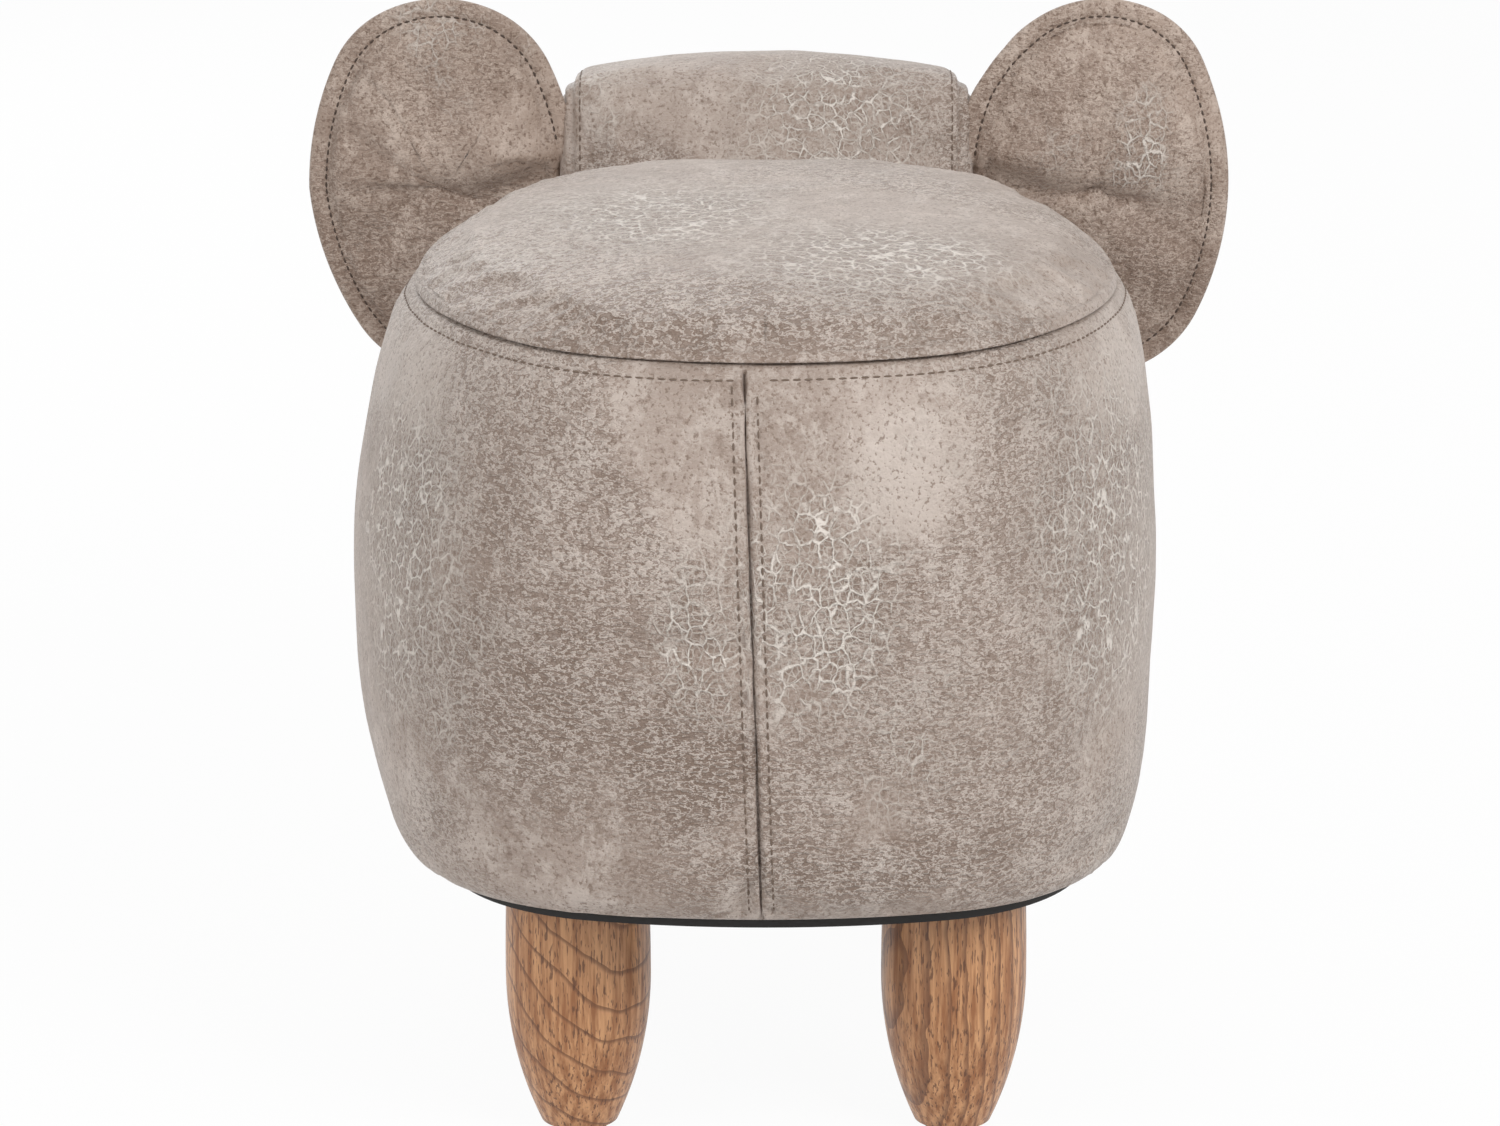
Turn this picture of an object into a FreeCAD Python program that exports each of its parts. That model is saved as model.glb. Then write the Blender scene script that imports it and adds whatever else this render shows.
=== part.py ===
"""Elephant storage pouf: a padded stool in the shape of an elephant, with a storage box under its seat.

Millimetres, +Z up, +Y from the rump towards the head, +X to the right when seen from the rump.
The origin is on the floor, midway between the rump and the front of the trunk.
"""
import FreeCAD, Part
import math
import os

import Sketcher
from FreeCAD import Placement, Rotation, Vector

doc = FreeCAD.newDocument("elephant_pouf")

# Driving sizes
SIZES = {
    # Turned legs with their bolts and glides
    "leg_height": 102,
    "leg_side_inset": 57,
    "leg_rear_inset": 63,
    "leg_front_inset": 36,
    "leg_top_width": 55,
    "leg_belly_width": 56.5,
    "leg_belly_height": 64,
    "leg_foot_width": 30,
    "glide_width": 22,
    "glide_thick": 3,
    "bolt_width": 8,
    "bolt_in_leg": 32,
    "bolt_fit": 0.1,
    "nut_flange_width": 22,
    "nut_flange_thick": 1.6,
    "nut_barrel_width": 11,
    # Base board and the black cloth under it
    "dust_thick": 0.8,
    "dust_inset": 3,
    "base_thick": 12,
    "base_reveal": 3.7,
    # Storage box of plywood, measured from the widest cross-section of the body
    "widest_y": -112,
    "box_width": 184,
    "box_rear": 100,
    "box_front": 138,
    "box_height": 206,
    "ply_thick": 9,
    "lining_thick": 0.8,
    # Padding between the box and the cover, at the base and at the rim
    "base_side_pad": 38,
    "base_rear_pad": 43,
    "base_front_pad": 20,
    "base_rear_radius": 75,
    "base_front_radius": 55,
    "base_side_bulge": 5,
    "base_rear_bulge": 6,
    "rim_side_pad": 44,
    "rim_rear_pad": 49,
    "rim_front_pad": 30,
    "rim_rear_radius": 92,
    "rim_front_radius": 60,
    "rim_side_bulge": 20,
    "rim_rear_bulge": 4,
    "front_straight": 50,
    "belly_out": 24,
    "belly_height": 103,
    "cover_thick": 1.2,
    "hem_on_ply": 6,
    # Seat lid
    "lid_clear": 0.3,
    "lid_crown": 24,
    "lid_board_thick": 9,
    "lid_board_inset": 14,
    "return_width": 26,
    "lid_lining_gap": 2,
    # Butt hinges at the neck
    "hinge_spread": 64,
    "hinge_width": 36,
    "leaf_thick": 1.2,
    "leaf_depth": 36,
    "knuckle_width": 6.4,
    "knuckle_gap": 0.2,
    "pin_width": 3,
    "pin_fit": 0.05,
    "hinge_clear": 0.6,
    "hinge_room": 1.5,
    "leaf_screw_setback": 25,
    # Wood that carries the head
    "block_width": 112,
    "block_depth": 26,
    "block_height": 80,
    "beam_width": 60,
    "beam_height": 46,
    "beam_drop": 30,
    "head_board_width": 120,
    "head_board_height": 108,
    "head_board_thick": 12,
    "head_board_corner": 24,
    "head_board_setback": 16.5,
    # Screws
    "screw_width": 4,
    "screw_head_width": 8,
    "screw_head_depth": 2.4,
    "screw_fit": 0.05,
    "box_screw_length": 40,
    "neck_screw_length": 32,
    "head_screw_length": 45,
    "leaf_screw_width": 3,
    "leaf_screw_head_width": 5.6,
    "leaf_screw_head_depth": 1,
    "leaf_screw_length": 8,
    # Stuffed head and neck
    "head_gap": 34,
    "head_width": 187,
    "head_height": 156,
    "head_depth": 132,
    "head_top": 365,
    "head_forehead_drop": 16,
    "head_seam_inset": 9,
    "head_full": 66,
    "neck_width": 100,
    "neck_height": 100,
    "neck_drop": 4,
    "neck_clear": 4,
    "neck_in_body": 21,
    # Trunk
    "trunk_root_width": 84,
    "trunk_tip_width": 38,
    "trunk_bend": 80,
    "trunk_sink": 24,
    "trunk_reach": 33,
    "trunk_tip_round": 5,
    "trunk_hang": 62,
    # Ears
    "ear_width": 118,
    "ear_height": 168,
    "ear_top": 393,
    "ear_thick": 13,
    "ear_rim": 8,
    "ear_back": 26,
    "ear_overlap": 12.5,
    # Eyes
    "eye_width": 15,
    "eye_rise": 5.5,
    "eye_post_width": 4,
    "eye_post_length": 14,
    "eye_washer_width": 16,
    "eye_washer_thick": 2,
    "eye_washer_sink": 2.6,
    "eye_height": 300,
    "eye_turn": 40,
}

sheet = doc.addObject("Spreadsheet::Sheet", "Sizes")
for row, (name, number) in enumerate(SIZES.items(), start=1):
    sheet.set("A%d" % row, name)
    sheet.set("B%d" % row, str(number))
    sheet.setAlias("B%d" % row, name)
doc.recompute()

# Derived places, written as formulas of the driving sizes
BASE_UNDER = "(Sizes.leg_height + Sizes.dust_thick)"
BASE_TOP = "(Sizes.leg_height + Sizes.dust_thick + Sizes.base_thick)"
RIM = "(%s + Sizes.box_height)" % BASE_TOP
COVER_FOOT = "(%s + Sizes.base_reveal)" % BASE_UNDER
HEM_TOP = "(%s + Sizes.cover_thick)" % RIM
LID_UNDER = "(%s + Sizes.lid_clear)" % HEM_TOP
LID_BOARD_UNDER = "(%s + Sizes.leaf_thick)" % LID_UNDER
AXIS_Z = "(%s + Sizes.lid_clear / 2)" % HEM_TOP
RIM_FRONT = "(Sizes.box_front + Sizes.rim_front_pad)"
AXIS_Y = "(Sizes.widest_y + %s + Sizes.knuckle_width / 2 + Sizes.hinge_clear)" % RIM_FRONT
BOX_FRONT_Y = "(Sizes.widest_y + Sizes.box_front)"
BOX_REAR_Y = "(Sizes.widest_y - Sizes.box_rear)"
BLOCK_FRONT_Y = "(%s + Sizes.block_depth)" % BOX_FRONT_Y
HEAD_BACK_Y = "(%s + Sizes.head_gap)" % AXIS_Y
HEAD_BOARD_Y = "(%s + Sizes.head_board_setback)" % HEAD_BACK_Y
HEAD_MID = "(Sizes.head_top - Sizes.head_height / 2)"
BEAM_TOP = "(%s - Sizes.beam_drop)" % RIM
BEAM_MID = "(%s - Sizes.beam_height / 2)" % BEAM_TOP
LEG_X = "(Sizes.box_width / 2 + Sizes.base_side_pad - Sizes.leg_side_inset)"
LEG_REAR_Y = "(Sizes.widest_y - Sizes.box_rear - Sizes.base_rear_pad + Sizes.leg_rear_inset)"
LEG_FRONT_Y = "(Sizes.widest_y + Sizes.box_front + Sizes.base_front_pad - Sizes.leg_front_inset)"

NODES = {}
FAR = 1000


def value(formula):
    """Number that a formula of the sheet gives now."""
    return float(sheet.evalExpression(str(formula)))


def size(name):
    return value("Sizes." + name)


def keep(label, piece):
    """Give a finished sub-part its name and list it for export."""
    piece.Label = label
    NODES[label] = piece
    return piece


def bind(piece, **formulas):
    """Tie properties of an object to formulas of the sheet; x, y and z set its place."""
    for prop, formula in formulas.items():
        path = "Placement.Base." + prop if prop in ("x", "y", "z") else prop
        piece.setExpression(path, str(formula))
    return piece


def block(name, length, width, height, x, y, z):
    piece = doc.addObject("Part::Box", name)
    return bind(piece, Length=length, Width=width, Height=height, x=x, y=y, z=z)


def rod(name, radius, height, x, y, z, turn=Rotation()):
    piece = doc.addObject("Part::Cylinder", name)
    piece.Placement = Placement(Vector(), turn)
    return bind(piece, Radius=radius, Height=height, x=x, y=y, z=z)


def group(name, pieces):
    piece = doc.addObject("Part::Compound", name)
    piece.Links = pieces
    return piece


def cut(name, base, tools):
    piece = doc.addObject("Part::Cut", name)
    piece.Base = base
    piece.Tool = tools if not isinstance(tools, list) else group(name + "_tools", tools)
    return piece


def fuse(name, base, tool):
    piece = doc.addObject("Part::Fuse", name)
    piece.Base = base
    piece.Tool = tool
    return piece


def soft(name, shape):
    """Lofted or sewn form, whose shape is made from the sheet's sizes in this script."""
    piece = doc.addObject("Part::Feature", name)
    piece.Shape = shape
    piece.Placement = Placement()
    return piece


def made(piece):
    """Shape of a bound object, up to date."""
    doc.recompute()
    return piece.Shape.copy()


# Outlines and lofts that the soft forms share

def arc(middle, radius, start, end, place):
    """Arc about a 2-D middle, from a start to an end angle in degrees, set into space by place."""
    corners = []
    for angle in (start, (start + end) / 2, end):
        turn = math.radians(angle)
        corners.append(place(middle[0] + radius * math.cos(turn), middle[1] + radius * math.sin(turn)))
    return Part.Arc(*corners).toShape()


def heading(start, end):
    return math.degrees(math.atan2(end[1] - start[1], end[0] - start[0]))


def body_outline(level):
    """Sizes of the body's outline at the base, at the rim, or a share of the way between them."""
    ends = {}
    for name in ("base", "rim"):
        ends[name] = {
            "half": size("box_width") / 2 + size(name + "_side_pad"),
            "rear": size("box_rear") + size(name + "_rear_pad"),
            "front": size("box_front") + size(name + "_front_pad"),
            "rear_radius": size(name + "_rear_radius"),
            "front_radius": size(name + "_front_radius"),
            "side_bulge": size(name + "_side_bulge"),
            "rear_bulge": size(name + "_rear_bulge"),
            "straight": size("front_straight"),
        }
    return {key: ends["base"][key] * (1 - level) + ends["rim"][key] * level for key in ends["rim"]}


def body_wire(outline, height, inset=0.0, scale=1.0):
    """Egg-shaped plan of tangent arcs: round at the rump, straight at the neck, where the hinges sit."""
    half, rear, front = outline["half"], outline["rear"], outline["front"]
    radius, front_radius = outline["rear_radius"], outline["front_radius"]
    side_bulge, rear_bulge = outline["side_bulge"], outline["rear_bulge"]
    corner = (half - side_bulge - radius, rear_bulge + radius - rear)
    side = ((side_bulge + radius) ** 2 + corner[1] ** 2 - radius ** 2) / (2 * side_bulge)
    end = ((rear_bulge + radius) ** 2 + corner[0] ** 2 - radius ** 2) / (2 * rear_bulge)
    nose = (outline["straight"], front - front_radius)
    reach = half - nose[0]
    flank = (reach ** 2 + nose[1] ** 2 - front_radius ** 2) / (2 * (reach - front_radius))
    side_middle, end_middle, flank_middle = (half - side, 0), (0, end - rear), (half - flank, 0)
    middle_y = (front - rear) / 2
    widest_y = size("widest_y")

    def right(x, y):
        return Vector(x * scale, widest_y + middle_y + (y - middle_y) * scale, height)

    def left(x, y):
        return right(-x, y)

    flank_end = heading(flank_middle, nose)
    side_end = heading(side_middle, corner)
    end_start = heading(end_middle, corner)
    arcs = (
        (nose, front_radius - inset, 90, flank_end),
        (flank_middle, flank - inset, flank_end, 0),
        (side_middle, side - inset, 0, side_end),
        (corner, radius - inset, side_end, end_start),
        (end_middle, end - inset, end_start, -90),
    )
    edges = [arc(*sizes, right) for sizes in arcs]
    edges += [arc(middle, span, stop, start, left) for middle, span, start, stop in reversed(arcs)]
    edges.append(Part.makeLine(left(nose[0], front - inset), right(nose[0], front - inset)))
    return Part.Wire(edges)


def prism(wire, height):
    return Part.Face(wire).extrude(Vector(0, 0, height))


def oval_wire(half_width, half_height, roundness, place, low=25):
    """Oval of tangent arcs; roundness is the corner radius as a share of the shorter half.

    The corners begin where the sides and caps have turned by the low angle, in degrees.
    """
    radius = roundness * min(half_width, half_height)
    high = 90 - low
    flat, steep = 1 - math.cos(math.radians(low)), math.sin(math.radians(low))
    wide, tall = half_width - radius, half_height - radius
    side = radius + (steep * tall - flat * wide) / (steep ** 2 - flat ** 2)
    cap = radius + (steep * wide - flat * tall) / (steep ** 2 - flat ** 2)
    corner = (half_width - side + (side - radius) * (1 - flat), (side - radius) * steep)
    edges = []
    for quarter in range(4):
        mirror_u = 1 if quarter in (0, 3) else -1
        mirror_v = 1 if quarter < 2 else -1

        def turned(u, v, mirror_u=mirror_u, mirror_v=mirror_v):
            return place(u * mirror_u, v * mirror_v)

        arcs = [
            ((half_width - side, 0), side, 0, low),
            (corner, radius, low, high),
            ((0, half_height - cap), cap, high, 90),
        ]
        if mirror_u * mirror_v < 0:
            arcs = [(middle, span, stop, start) for middle, span, start, stop in reversed(arcs)]
        edges += [arc(*sizes, turned) for sizes in arcs]
    return Part.Wire(edges)


def loft(wires):
    return Part.makeLoft(wires, True, False, False, 3)


def swell(share, power):
    """Fullness of a rounded form at a share, 0 to 1, of the way from its fullest section to its edge."""
    return (1 - share ** power) ** (1 / power)


def body_form(inset, foot, top):
    """Barrel of the body between two heights, drawn in at the base and at the rim."""
    base, rim = value(COVER_FOOT), value(HEM_TOP)
    fullest = value(BASE_UNDER) + size("belly_height")
    wires = []
    for share in (1, 0.93, 0.75, 0.42):
        height = fullest - share * (fullest - base)
        wires.append((height, size("belly_out") * swell(share, 3)))
    for share in (0, 0.42, 0.72, 0.9, 1):
        height = fullest + share * (rim - fullest)
        wires.append((height, size("belly_out") * swell(share, 1.7)))
    sections = []
    for height, out in wires:
        level = (height - base) / (rim - base)
        sections.append(body_wire(body_outline(level), foot + level * (top - foot), inset - out))
    return loft(sections)


def lid_form(inset, under, crown):
    """Seat cushion on the rim's outline: steep at its edge, crowned across its top."""
    outline = body_outline(1)
    sections = []
    for scale in (1, 0.98, 0.93, 0.85, 0.74, 0.6, 0.42):
        rise = crown * math.sqrt(1 - scale ** 4)
        sections.append(body_wire(outline, under + rise, inset, scale))
    return loft(sections)


def head_form(inset):
    """Stuffed neck and head in one: slim over the hinges, then swelling to the skull and rounded off at the brow."""
    neck_half, neck_rise = size("neck_width") / 2 - inset, size("neck_height") / 2 - inset
    head_half, head_rise = size("head_width") / 2 - inset, size("head_height") / 2 - inset
    neck_middle = value(RIM) - size("neck_drop") - size("neck_height") / 2
    head_middle = value(HEAD_MID)
    neck_end, full_y = value(AXIS_Y) + size("neck_clear"), value(AXIS_Y) + size("head_full")
    front_y = value(HEAD_BACK_Y) + size("head_depth") - inset
    sections = []

    def add(y, half, rise, middle, roundness, low):
        def place(u, v):
            return Vector(u, y, middle + v)

        sections.append(oval_wire(half, rise, roundness, place, low))

    add(value(BLOCK_FRONT_Y) - size("neck_in_body"), neck_half, neck_rise, neck_middle, 0.75, 25)
    for share in (0, 0.25, 0.5, 0.75, 1):
        blend = share * share * (3 - 2 * share)
        add(neck_end + share * (full_y - neck_end), neck_half + blend * (head_half - neck_half),
            neck_rise + blend * (head_rise - neck_rise), neck_middle + blend * (head_middle - neck_middle),
            0.75 - 0.54 * blend, 25 - 17 * blend)
    for share in (0.35, 0.65, 0.85, 0.97):
        full = swell(share, 4)
        add(full_y + share * (front_y - full_y), head_half * full, head_rise * full,
            head_middle - size("head_forehead_drop") * share ** 2, 0.21 + 0.3 * share ** 2, 8 + 12 * share ** 2)
    return loft(sections)


def round_wire(middle, along, radius):
    """Circle of four quarter arcs about a middle, square to a direction in the YZ plane."""
    up = Vector(0, -along.z, along.y)

    def place(u, v):
        return middle + Vector(u, 0, 0) + up * v

    return Part.Wire([arc((0, 0), radius, start, start + 90, place) for start in (0, 90, 180, 270)])


def trunk_form(inset):
    """Tapered trunk: out of the brow, over a bend, and straight down to a rounded tip."""
    bend, hang = size("trunk_bend"), size("trunk_hang")
    root, tip = size("trunk_root_width") / 2, size("trunk_tip_width") / 2
    front = value(HEAD_BACK_Y) + size("head_depth")
    top = size("head_top") - size("head_height") / 2 - size("trunk_sink")
    middle_y = front - bend + size("trunk_reach")
    run = bend * math.pi / 2 + hang
    sections = []
    for share in (0.12, 0.34, 0.55, 0.76, 0.93, 0.985):
        along = share * run
        radius = root + (tip - root) * min(share, 0.93) ** 0.8
        if share > 0.95:
            radius = tip - size("trunk_tip_round")
        turn = min(along / bend, math.pi / 2)
        drop = max(0, along - bend * math.pi / 2)
        middle = Vector(0, middle_y + bend * math.sin(turn), top - bend + bend * math.cos(turn) - drop)
        heading_now = Vector(0, math.cos(turn), -math.sin(turn))
        sections.append(round_wire(middle + heading_now * (inset if share < 0.2 else -inset),
                                   heading_now, radius - inset))
    return loft(sections)


# Base board and the black cloth stapled under it

bolt_places = []
for end_name, leg_y in (("rear", LEG_REAR_Y), ("front", LEG_FRONT_Y)):
    for side_name, sign in (("left", "-"), ("right", "")):
        bolt_places.append((end_name + "_" + side_name, sign + LEG_X, leg_y))

base_outline = body_outline(0)
base_blank = soft("base_blank", prism(body_wire(base_outline, value(BASE_UNDER), size("cover_thick")),
                                      size("base_thick")))
nut_hole = "(Sizes.nut_barrel_width / 2 + Sizes.bolt_fit)"
nut_seat = "(Sizes.nut_flange_width / 2 + Sizes.bolt_fit)"
base_holes = []
for name, x, y in bolt_places:
    base_holes.append(rod("nut_hole_" + name, nut_hole, "Sizes.base_thick", x, y, BASE_UNDER))
    base_holes.append(rod("nut_seat_" + name, nut_seat, "Sizes.nut_flange_thick", x, y,
                          BASE_TOP + " - Sizes.nut_flange_thick"))

box_screw_x = "(Sizes.box_width / 2 - Sizes.ply_thick / 2)"
box_screw_places = []
for sign in ("-", ""):
    for y in (BOX_REAR_Y + " + Sizes.box_rear / 2", BOX_FRONT_Y + " - Sizes.box_front / 2"):
        box_screw_places.append((sign + box_screw_x, y))
    for y in (BOX_REAR_Y + " + Sizes.ply_thick / 2", BOX_FRONT_Y + " - Sizes.ply_thick / 2"):
        box_screw_places.append((sign + "Sizes.box_width / 4", y))


def screw(length, width, head_width, head_depth):
    """Countersunk screw, head down at the origin, shank towards +Z."""
    head = Part.makeCone(head_width / 2, width / 2, head_depth)
    shank = Part.makeCylinder(width / 2, length - width - head_depth, Vector(0, 0, head_depth))
    point = Part.makeCone(width / 2, width / 8, width, Vector(0, 0, length - width))
    return head.fuse([shank, point]).removeSplitter()


def screw_set(name, length, places, fit=0.0, leaf=False):
    """Like screws at several places, each with its direction; fit widens them into their holes."""
    kind = "leaf_screw" if leaf else "screw"
    wide = 2 * fit
    one = screw(length + fit, size(kind + "_width") + wide, size(kind + "_head_width") + wide,
                size(kind + "_head_depth"))
    copies = []
    for where, direction in places:
        copy = one.copy()
        copy.Placement = Placement(where, Rotation(Vector(0, 0, 1), direction))
        copies.append(copy)
    return soft(name, Part.makeCompound(copies))


def drive(name, length, places, leaf=False):
    """Screws of one set as a node, and the holes that they need."""
    keep(name, screw_set(name, length, places, leaf=leaf))
    return screw_set(name + "_holes", length, places, size("screw_fit"), leaf)


UP, FORWARD, DOWN = Vector(0, 0, 1), Vector(0, 1, 0), Vector(0, 0, -1)
box_screw_spots = [(Vector(value(x), value(y), value(BASE_UNDER)), UP) for x, y in box_screw_places]
box_screw_holes = drive("box_screws", size("box_screw_length"), box_screw_spots)
keep("base_board", cut("base_board", base_blank, base_holes + [box_screw_holes]))

dust_blank = soft("dust_blank", prism(body_wire(base_outline, size("leg_height"), size("dust_inset")),
                                      size("dust_thick")))
dust_holes = [rod("dust_hole_" + name, "Sizes.bolt_width / 2 + Sizes.bolt_fit", "Sizes.dust_thick", x, y,
                  "Sizes.leg_height") for name, x, y in bolt_places]
keep("dust_cover", cut("dust_cover", dust_blank, dust_holes))


# Turned legs, each screwed up into the base board on a steel bolt

def leg(name, x, y):
    body = doc.addObject("PartDesign::Body", "leg_" + name)
    planes = {plane.Role: plane for plane in body.Origin.OriginFeatures}
    profile = body.newObject("Sketcher::SketchObject", "profile_" + name)
    profile.AttachmentSupport = (planes["XZ_Plane"], "")
    profile.MapMode = "FlatFace"
    foot, belly, top = size("leg_foot_width") / 2, size("leg_belly_width") / 2, size("leg_top_width") / 2
    low, middle, high = size("glide_thick"), size("leg_belly_height"), size("leg_height")
    corners = [Vector(0, low), Vector(foot, low), Vector(belly, middle), Vector(top, high), Vector(0, high)]

    def turned_side(edge, fullest):
        """Arc from an edge of the leg to its fullest ring, upright where it meets that ring."""
        reach, width = abs(edge.y - fullest.y), fullest.x - edge.x
        radius = (reach ** 2 + width ** 2) / (2 * width)
        centre = Vector(fullest.x - radius, fullest.y)
        turn = math.atan2(edge.y - fullest.y, edge.x - centre.x)
        return Part.ArcOfCircle(Part.Circle(centre, Vector(0, 0, 1), radius), min(turn, 0), max(turn, 0))

    profile.addGeometry([
        Part.LineSegment(corners[0], corners[1]),
        turned_side(corners[1], corners[2]),
        turned_side(corners[3], corners[2]),
        Part.LineSegment(corners[3], corners[4]),
        Part.LineSegment(corners[4], corners[0]),
    ])
    START, END, CENTRE, ORIGIN, AXIS = 1, 2, 3, -1, -2
    join = [("Coincident", 0, END, 1, START), ("Coincident", 1, END, 2, START), ("Coincident", 2, END, 3, START),
            ("Coincident", 3, END, 4, START), ("Coincident", 4, END, 0, START), ("Horizontal", 0),
            ("Horizontal", 3), ("PointOnObject", 4, START, AXIS), ("PointOnObject", 4, END, AXIS),
            ("Horizontal", 1, CENTRE, 1, END), ("Horizontal", 2, CENTRE, 1, END)]
    for rule in join:
        profile.addConstraint(Sketcher.Constraint(*rule))
    driven = [("foot_radius", "DistanceX", 0, END, foot, "Sizes.leg_foot_width / 2"),
              ("foot_level", "DistanceY", 0, END, low, "Sizes.glide_thick"),
              ("belly_radius", "DistanceX", 1, END, belly, "Sizes.leg_belly_width / 2"),
              ("belly_level", "DistanceY", 1, END, middle, "Sizes.leg_belly_height"),
              ("top_radius", "DistanceX", 2, END, top, "Sizes.leg_top_width / 2"),
              ("top_level", "DistanceY", 2, END, high, "Sizes.leg_height")]
    for label, kind, edge, point, start_value, formula in driven:
        number = profile.addConstraint(Sketcher.Constraint(kind, ORIGIN, 1, edge, point, start_value))
        profile.renameConstraint(number, label)
        profile.setExpression("Constraints." + label, formula)
    turning = body.newObject("PartDesign::Revolution", "turning_" + name)
    turning.Profile = profile
    turning.ReferenceAxis = (profile, ["V_Axis"])
    turning.Angle = 360
    hole_sketch = body.newObject("Sketcher::SketchObject", "bolt_hole_sketch_" + name)
    hole_sketch.AttachmentSupport = (planes["XY_Plane"], "")
    hole_sketch.MapMode = "FlatFace"
    hole_sketch.setExpression("AttachmentOffset.Base.z", "Sizes.leg_height")
    hole_sketch.addGeometry(Part.Circle(Vector(), Vector(0, 0, 1), size("bolt_width") / 2 + size("bolt_fit")))
    hole_sketch.addConstraint(Sketcher.Constraint("Coincident", 0, CENTRE, ORIGIN, 1))
    hole_sketch.addConstraint(Sketcher.Constraint("Radius", 0, size("bolt_width") / 2 + size("bolt_fit")))
    hole_sketch.setExpression("Constraints[1]", "Sizes.bolt_width / 2 + Sizes.bolt_fit")
    bore = body.newObject("PartDesign::Pocket", "bolt_hole_" + name)
    bore.Profile = hole_sketch
    bind(bore, Length="Sizes.bolt_in_leg")
    body.Tip = bore
    return keep("leg_" + name, bind(body, x=x, y=y))


for name, x, y in bolt_places:
    leg(name, x, y)

bolts, nuts, glides = [], [], []
for name, x, y in bolt_places:
    bolt_low = "Sizes.leg_height - Sizes.bolt_in_leg"
    bolt_length = "Sizes.bolt_in_leg + Sizes.dust_thick + Sizes.base_thick - Sizes.nut_flange_thick"
    bolts.append(rod("bolt_" + name, "Sizes.bolt_width / 2", bolt_length, x, y, bolt_low))
    barrel = rod("nut_barrel_" + name, "Sizes.nut_barrel_width / 2", "Sizes.base_thick", x, y, BASE_UNDER)
    flange = rod("nut_flange_" + name, "Sizes.nut_flange_width / 2", "Sizes.nut_flange_thick", x, y,
                 BASE_TOP + " - Sizes.nut_flange_thick")
    thread = rod("nut_thread_" + name, "Sizes.bolt_width / 2 + Sizes.bolt_fit", "Sizes.base_thick", x, y,
                 BASE_UNDER)
    nuts.append(cut("nut_" + name, fuse("nut_solid_" + name, barrel, flange), thread))
    glides.append(rod("glide_" + name, "Sizes.glide_width / 2", "Sizes.glide_thick", x, y, "0"))
keep("leg_bolts", group("leg_bolts", bolts))
keep("leg_tee_nuts", group("leg_tee_nuts", nuts))
keep("foot_glides", group("foot_glides", glides))


# Plywood storage box: two long sides, a rear and a front between them, and a cloth lining

inner_half = "(Sizes.box_width / 2 - Sizes.ply_thick)"
box_length = "Sizes.box_rear + Sizes.box_front"
neck_screw_spots = []
for sign in (-1, 1):
    for share in (0.25, 0.75):
        height = value(RIM) - share * size("block_height")
        neck_screw_spots.append((Vector(sign * size("block_width") / 4, value(BOX_FRONT_Y) - size("ply_thick"),
                                        height), FORWARD))
neck_screw_holes = drive("neck_screws", size("neck_screw_length"), neck_screw_spots)
side_left = block("side_left", "Sizes.ply_thick", box_length, "Sizes.box_height", "-Sizes.box_width / 2",
                  BOX_REAR_Y, BASE_TOP)
side_right = block("side_right", "Sizes.ply_thick", box_length, "Sizes.box_height", inner_half, BOX_REAR_Y,
                   BASE_TOP)
end_rear = block("end_rear", "2 * " + inner_half, "Sizes.ply_thick", "Sizes.box_height", "-" + inner_half,
                 BOX_REAR_Y, BASE_TOP)
end_front = block("end_front", "2 * " + inner_half, "Sizes.ply_thick", "Sizes.box_height", "-" + inner_half,
                  BOX_FRONT_Y + " - Sizes.ply_thick", BASE_TOP)
keep("box_wall_left", cut("box_wall_left", side_left, box_screw_holes))
keep("box_wall_right", cut("box_wall_right", side_right, box_screw_holes))
keep("box_wall_rear", cut("box_wall_rear", end_rear, box_screw_holes))

lining_inner = "(%s - Sizes.lining_thick)" % inner_half
lining_outer_box = block("lining_outer", "2 * " + inner_half, box_length + " - 2 * Sizes.ply_thick",
                         "Sizes.box_height", "-" + inner_half, BOX_REAR_Y + " + Sizes.ply_thick", BASE_TOP)
lining_hollow = block("lining_hollow", "2 * " + lining_inner,
                      box_length + " - 2 * Sizes.ply_thick - 2 * Sizes.lining_thick", "Sizes.box_height",
                      "-" + lining_inner, BOX_REAR_Y + " + Sizes.ply_thick + Sizes.lining_thick",
                      BASE_TOP + " + Sizes.lining_thick")
keep("box_lining", cut("box_lining", lining_outer_box, lining_hollow))


# Wood that carries the hinges and the head: a block on the box, a beam through the neck, a board in the head

hinge_sides = (("left", "-Sizes.hinge_spread / 2"), ("right", "Sizes.hinge_spread / 2"))
leaf_screw_y = value(AXIS_Y) - size("leaf_screw_setback")
plate_spots, leaf_spots = [], []
for side_name, middle in hinge_sides:
    for sign in (-1, 1):
        x = value(middle) + sign * size("hinge_width") / 4
        plate_spots.append((Vector(x, leaf_screw_y, value(RIM) + size("leaf_thick")), DOWN))
        leaf_spots.append((Vector(x, leaf_screw_y, value(LID_UNDER)), UP))
plate_screw_holes = drive("hinge_plate_screws", size("leaf_screw_length"), plate_spots, leaf=True)
leaf_screw_holes = drive("hinge_leaf_screws", size("leaf_screw_length"), leaf_spots, leaf=True)

head_screw_spots = []
for sign_x in (-1, 1):
    for sign_z in (-1, 1):
        head_screw_spots.append((Vector(sign_x * size("beam_width") / 4,
                                        value(HEAD_BOARD_Y) + size("head_board_thick"),
                                        value(BEAM_MID) + sign_z * size("beam_height") / 4), Vector(0, -1, 0)))
head_screw_holes = drive("head_screws", size("head_screw_length"), head_screw_spots)

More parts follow.
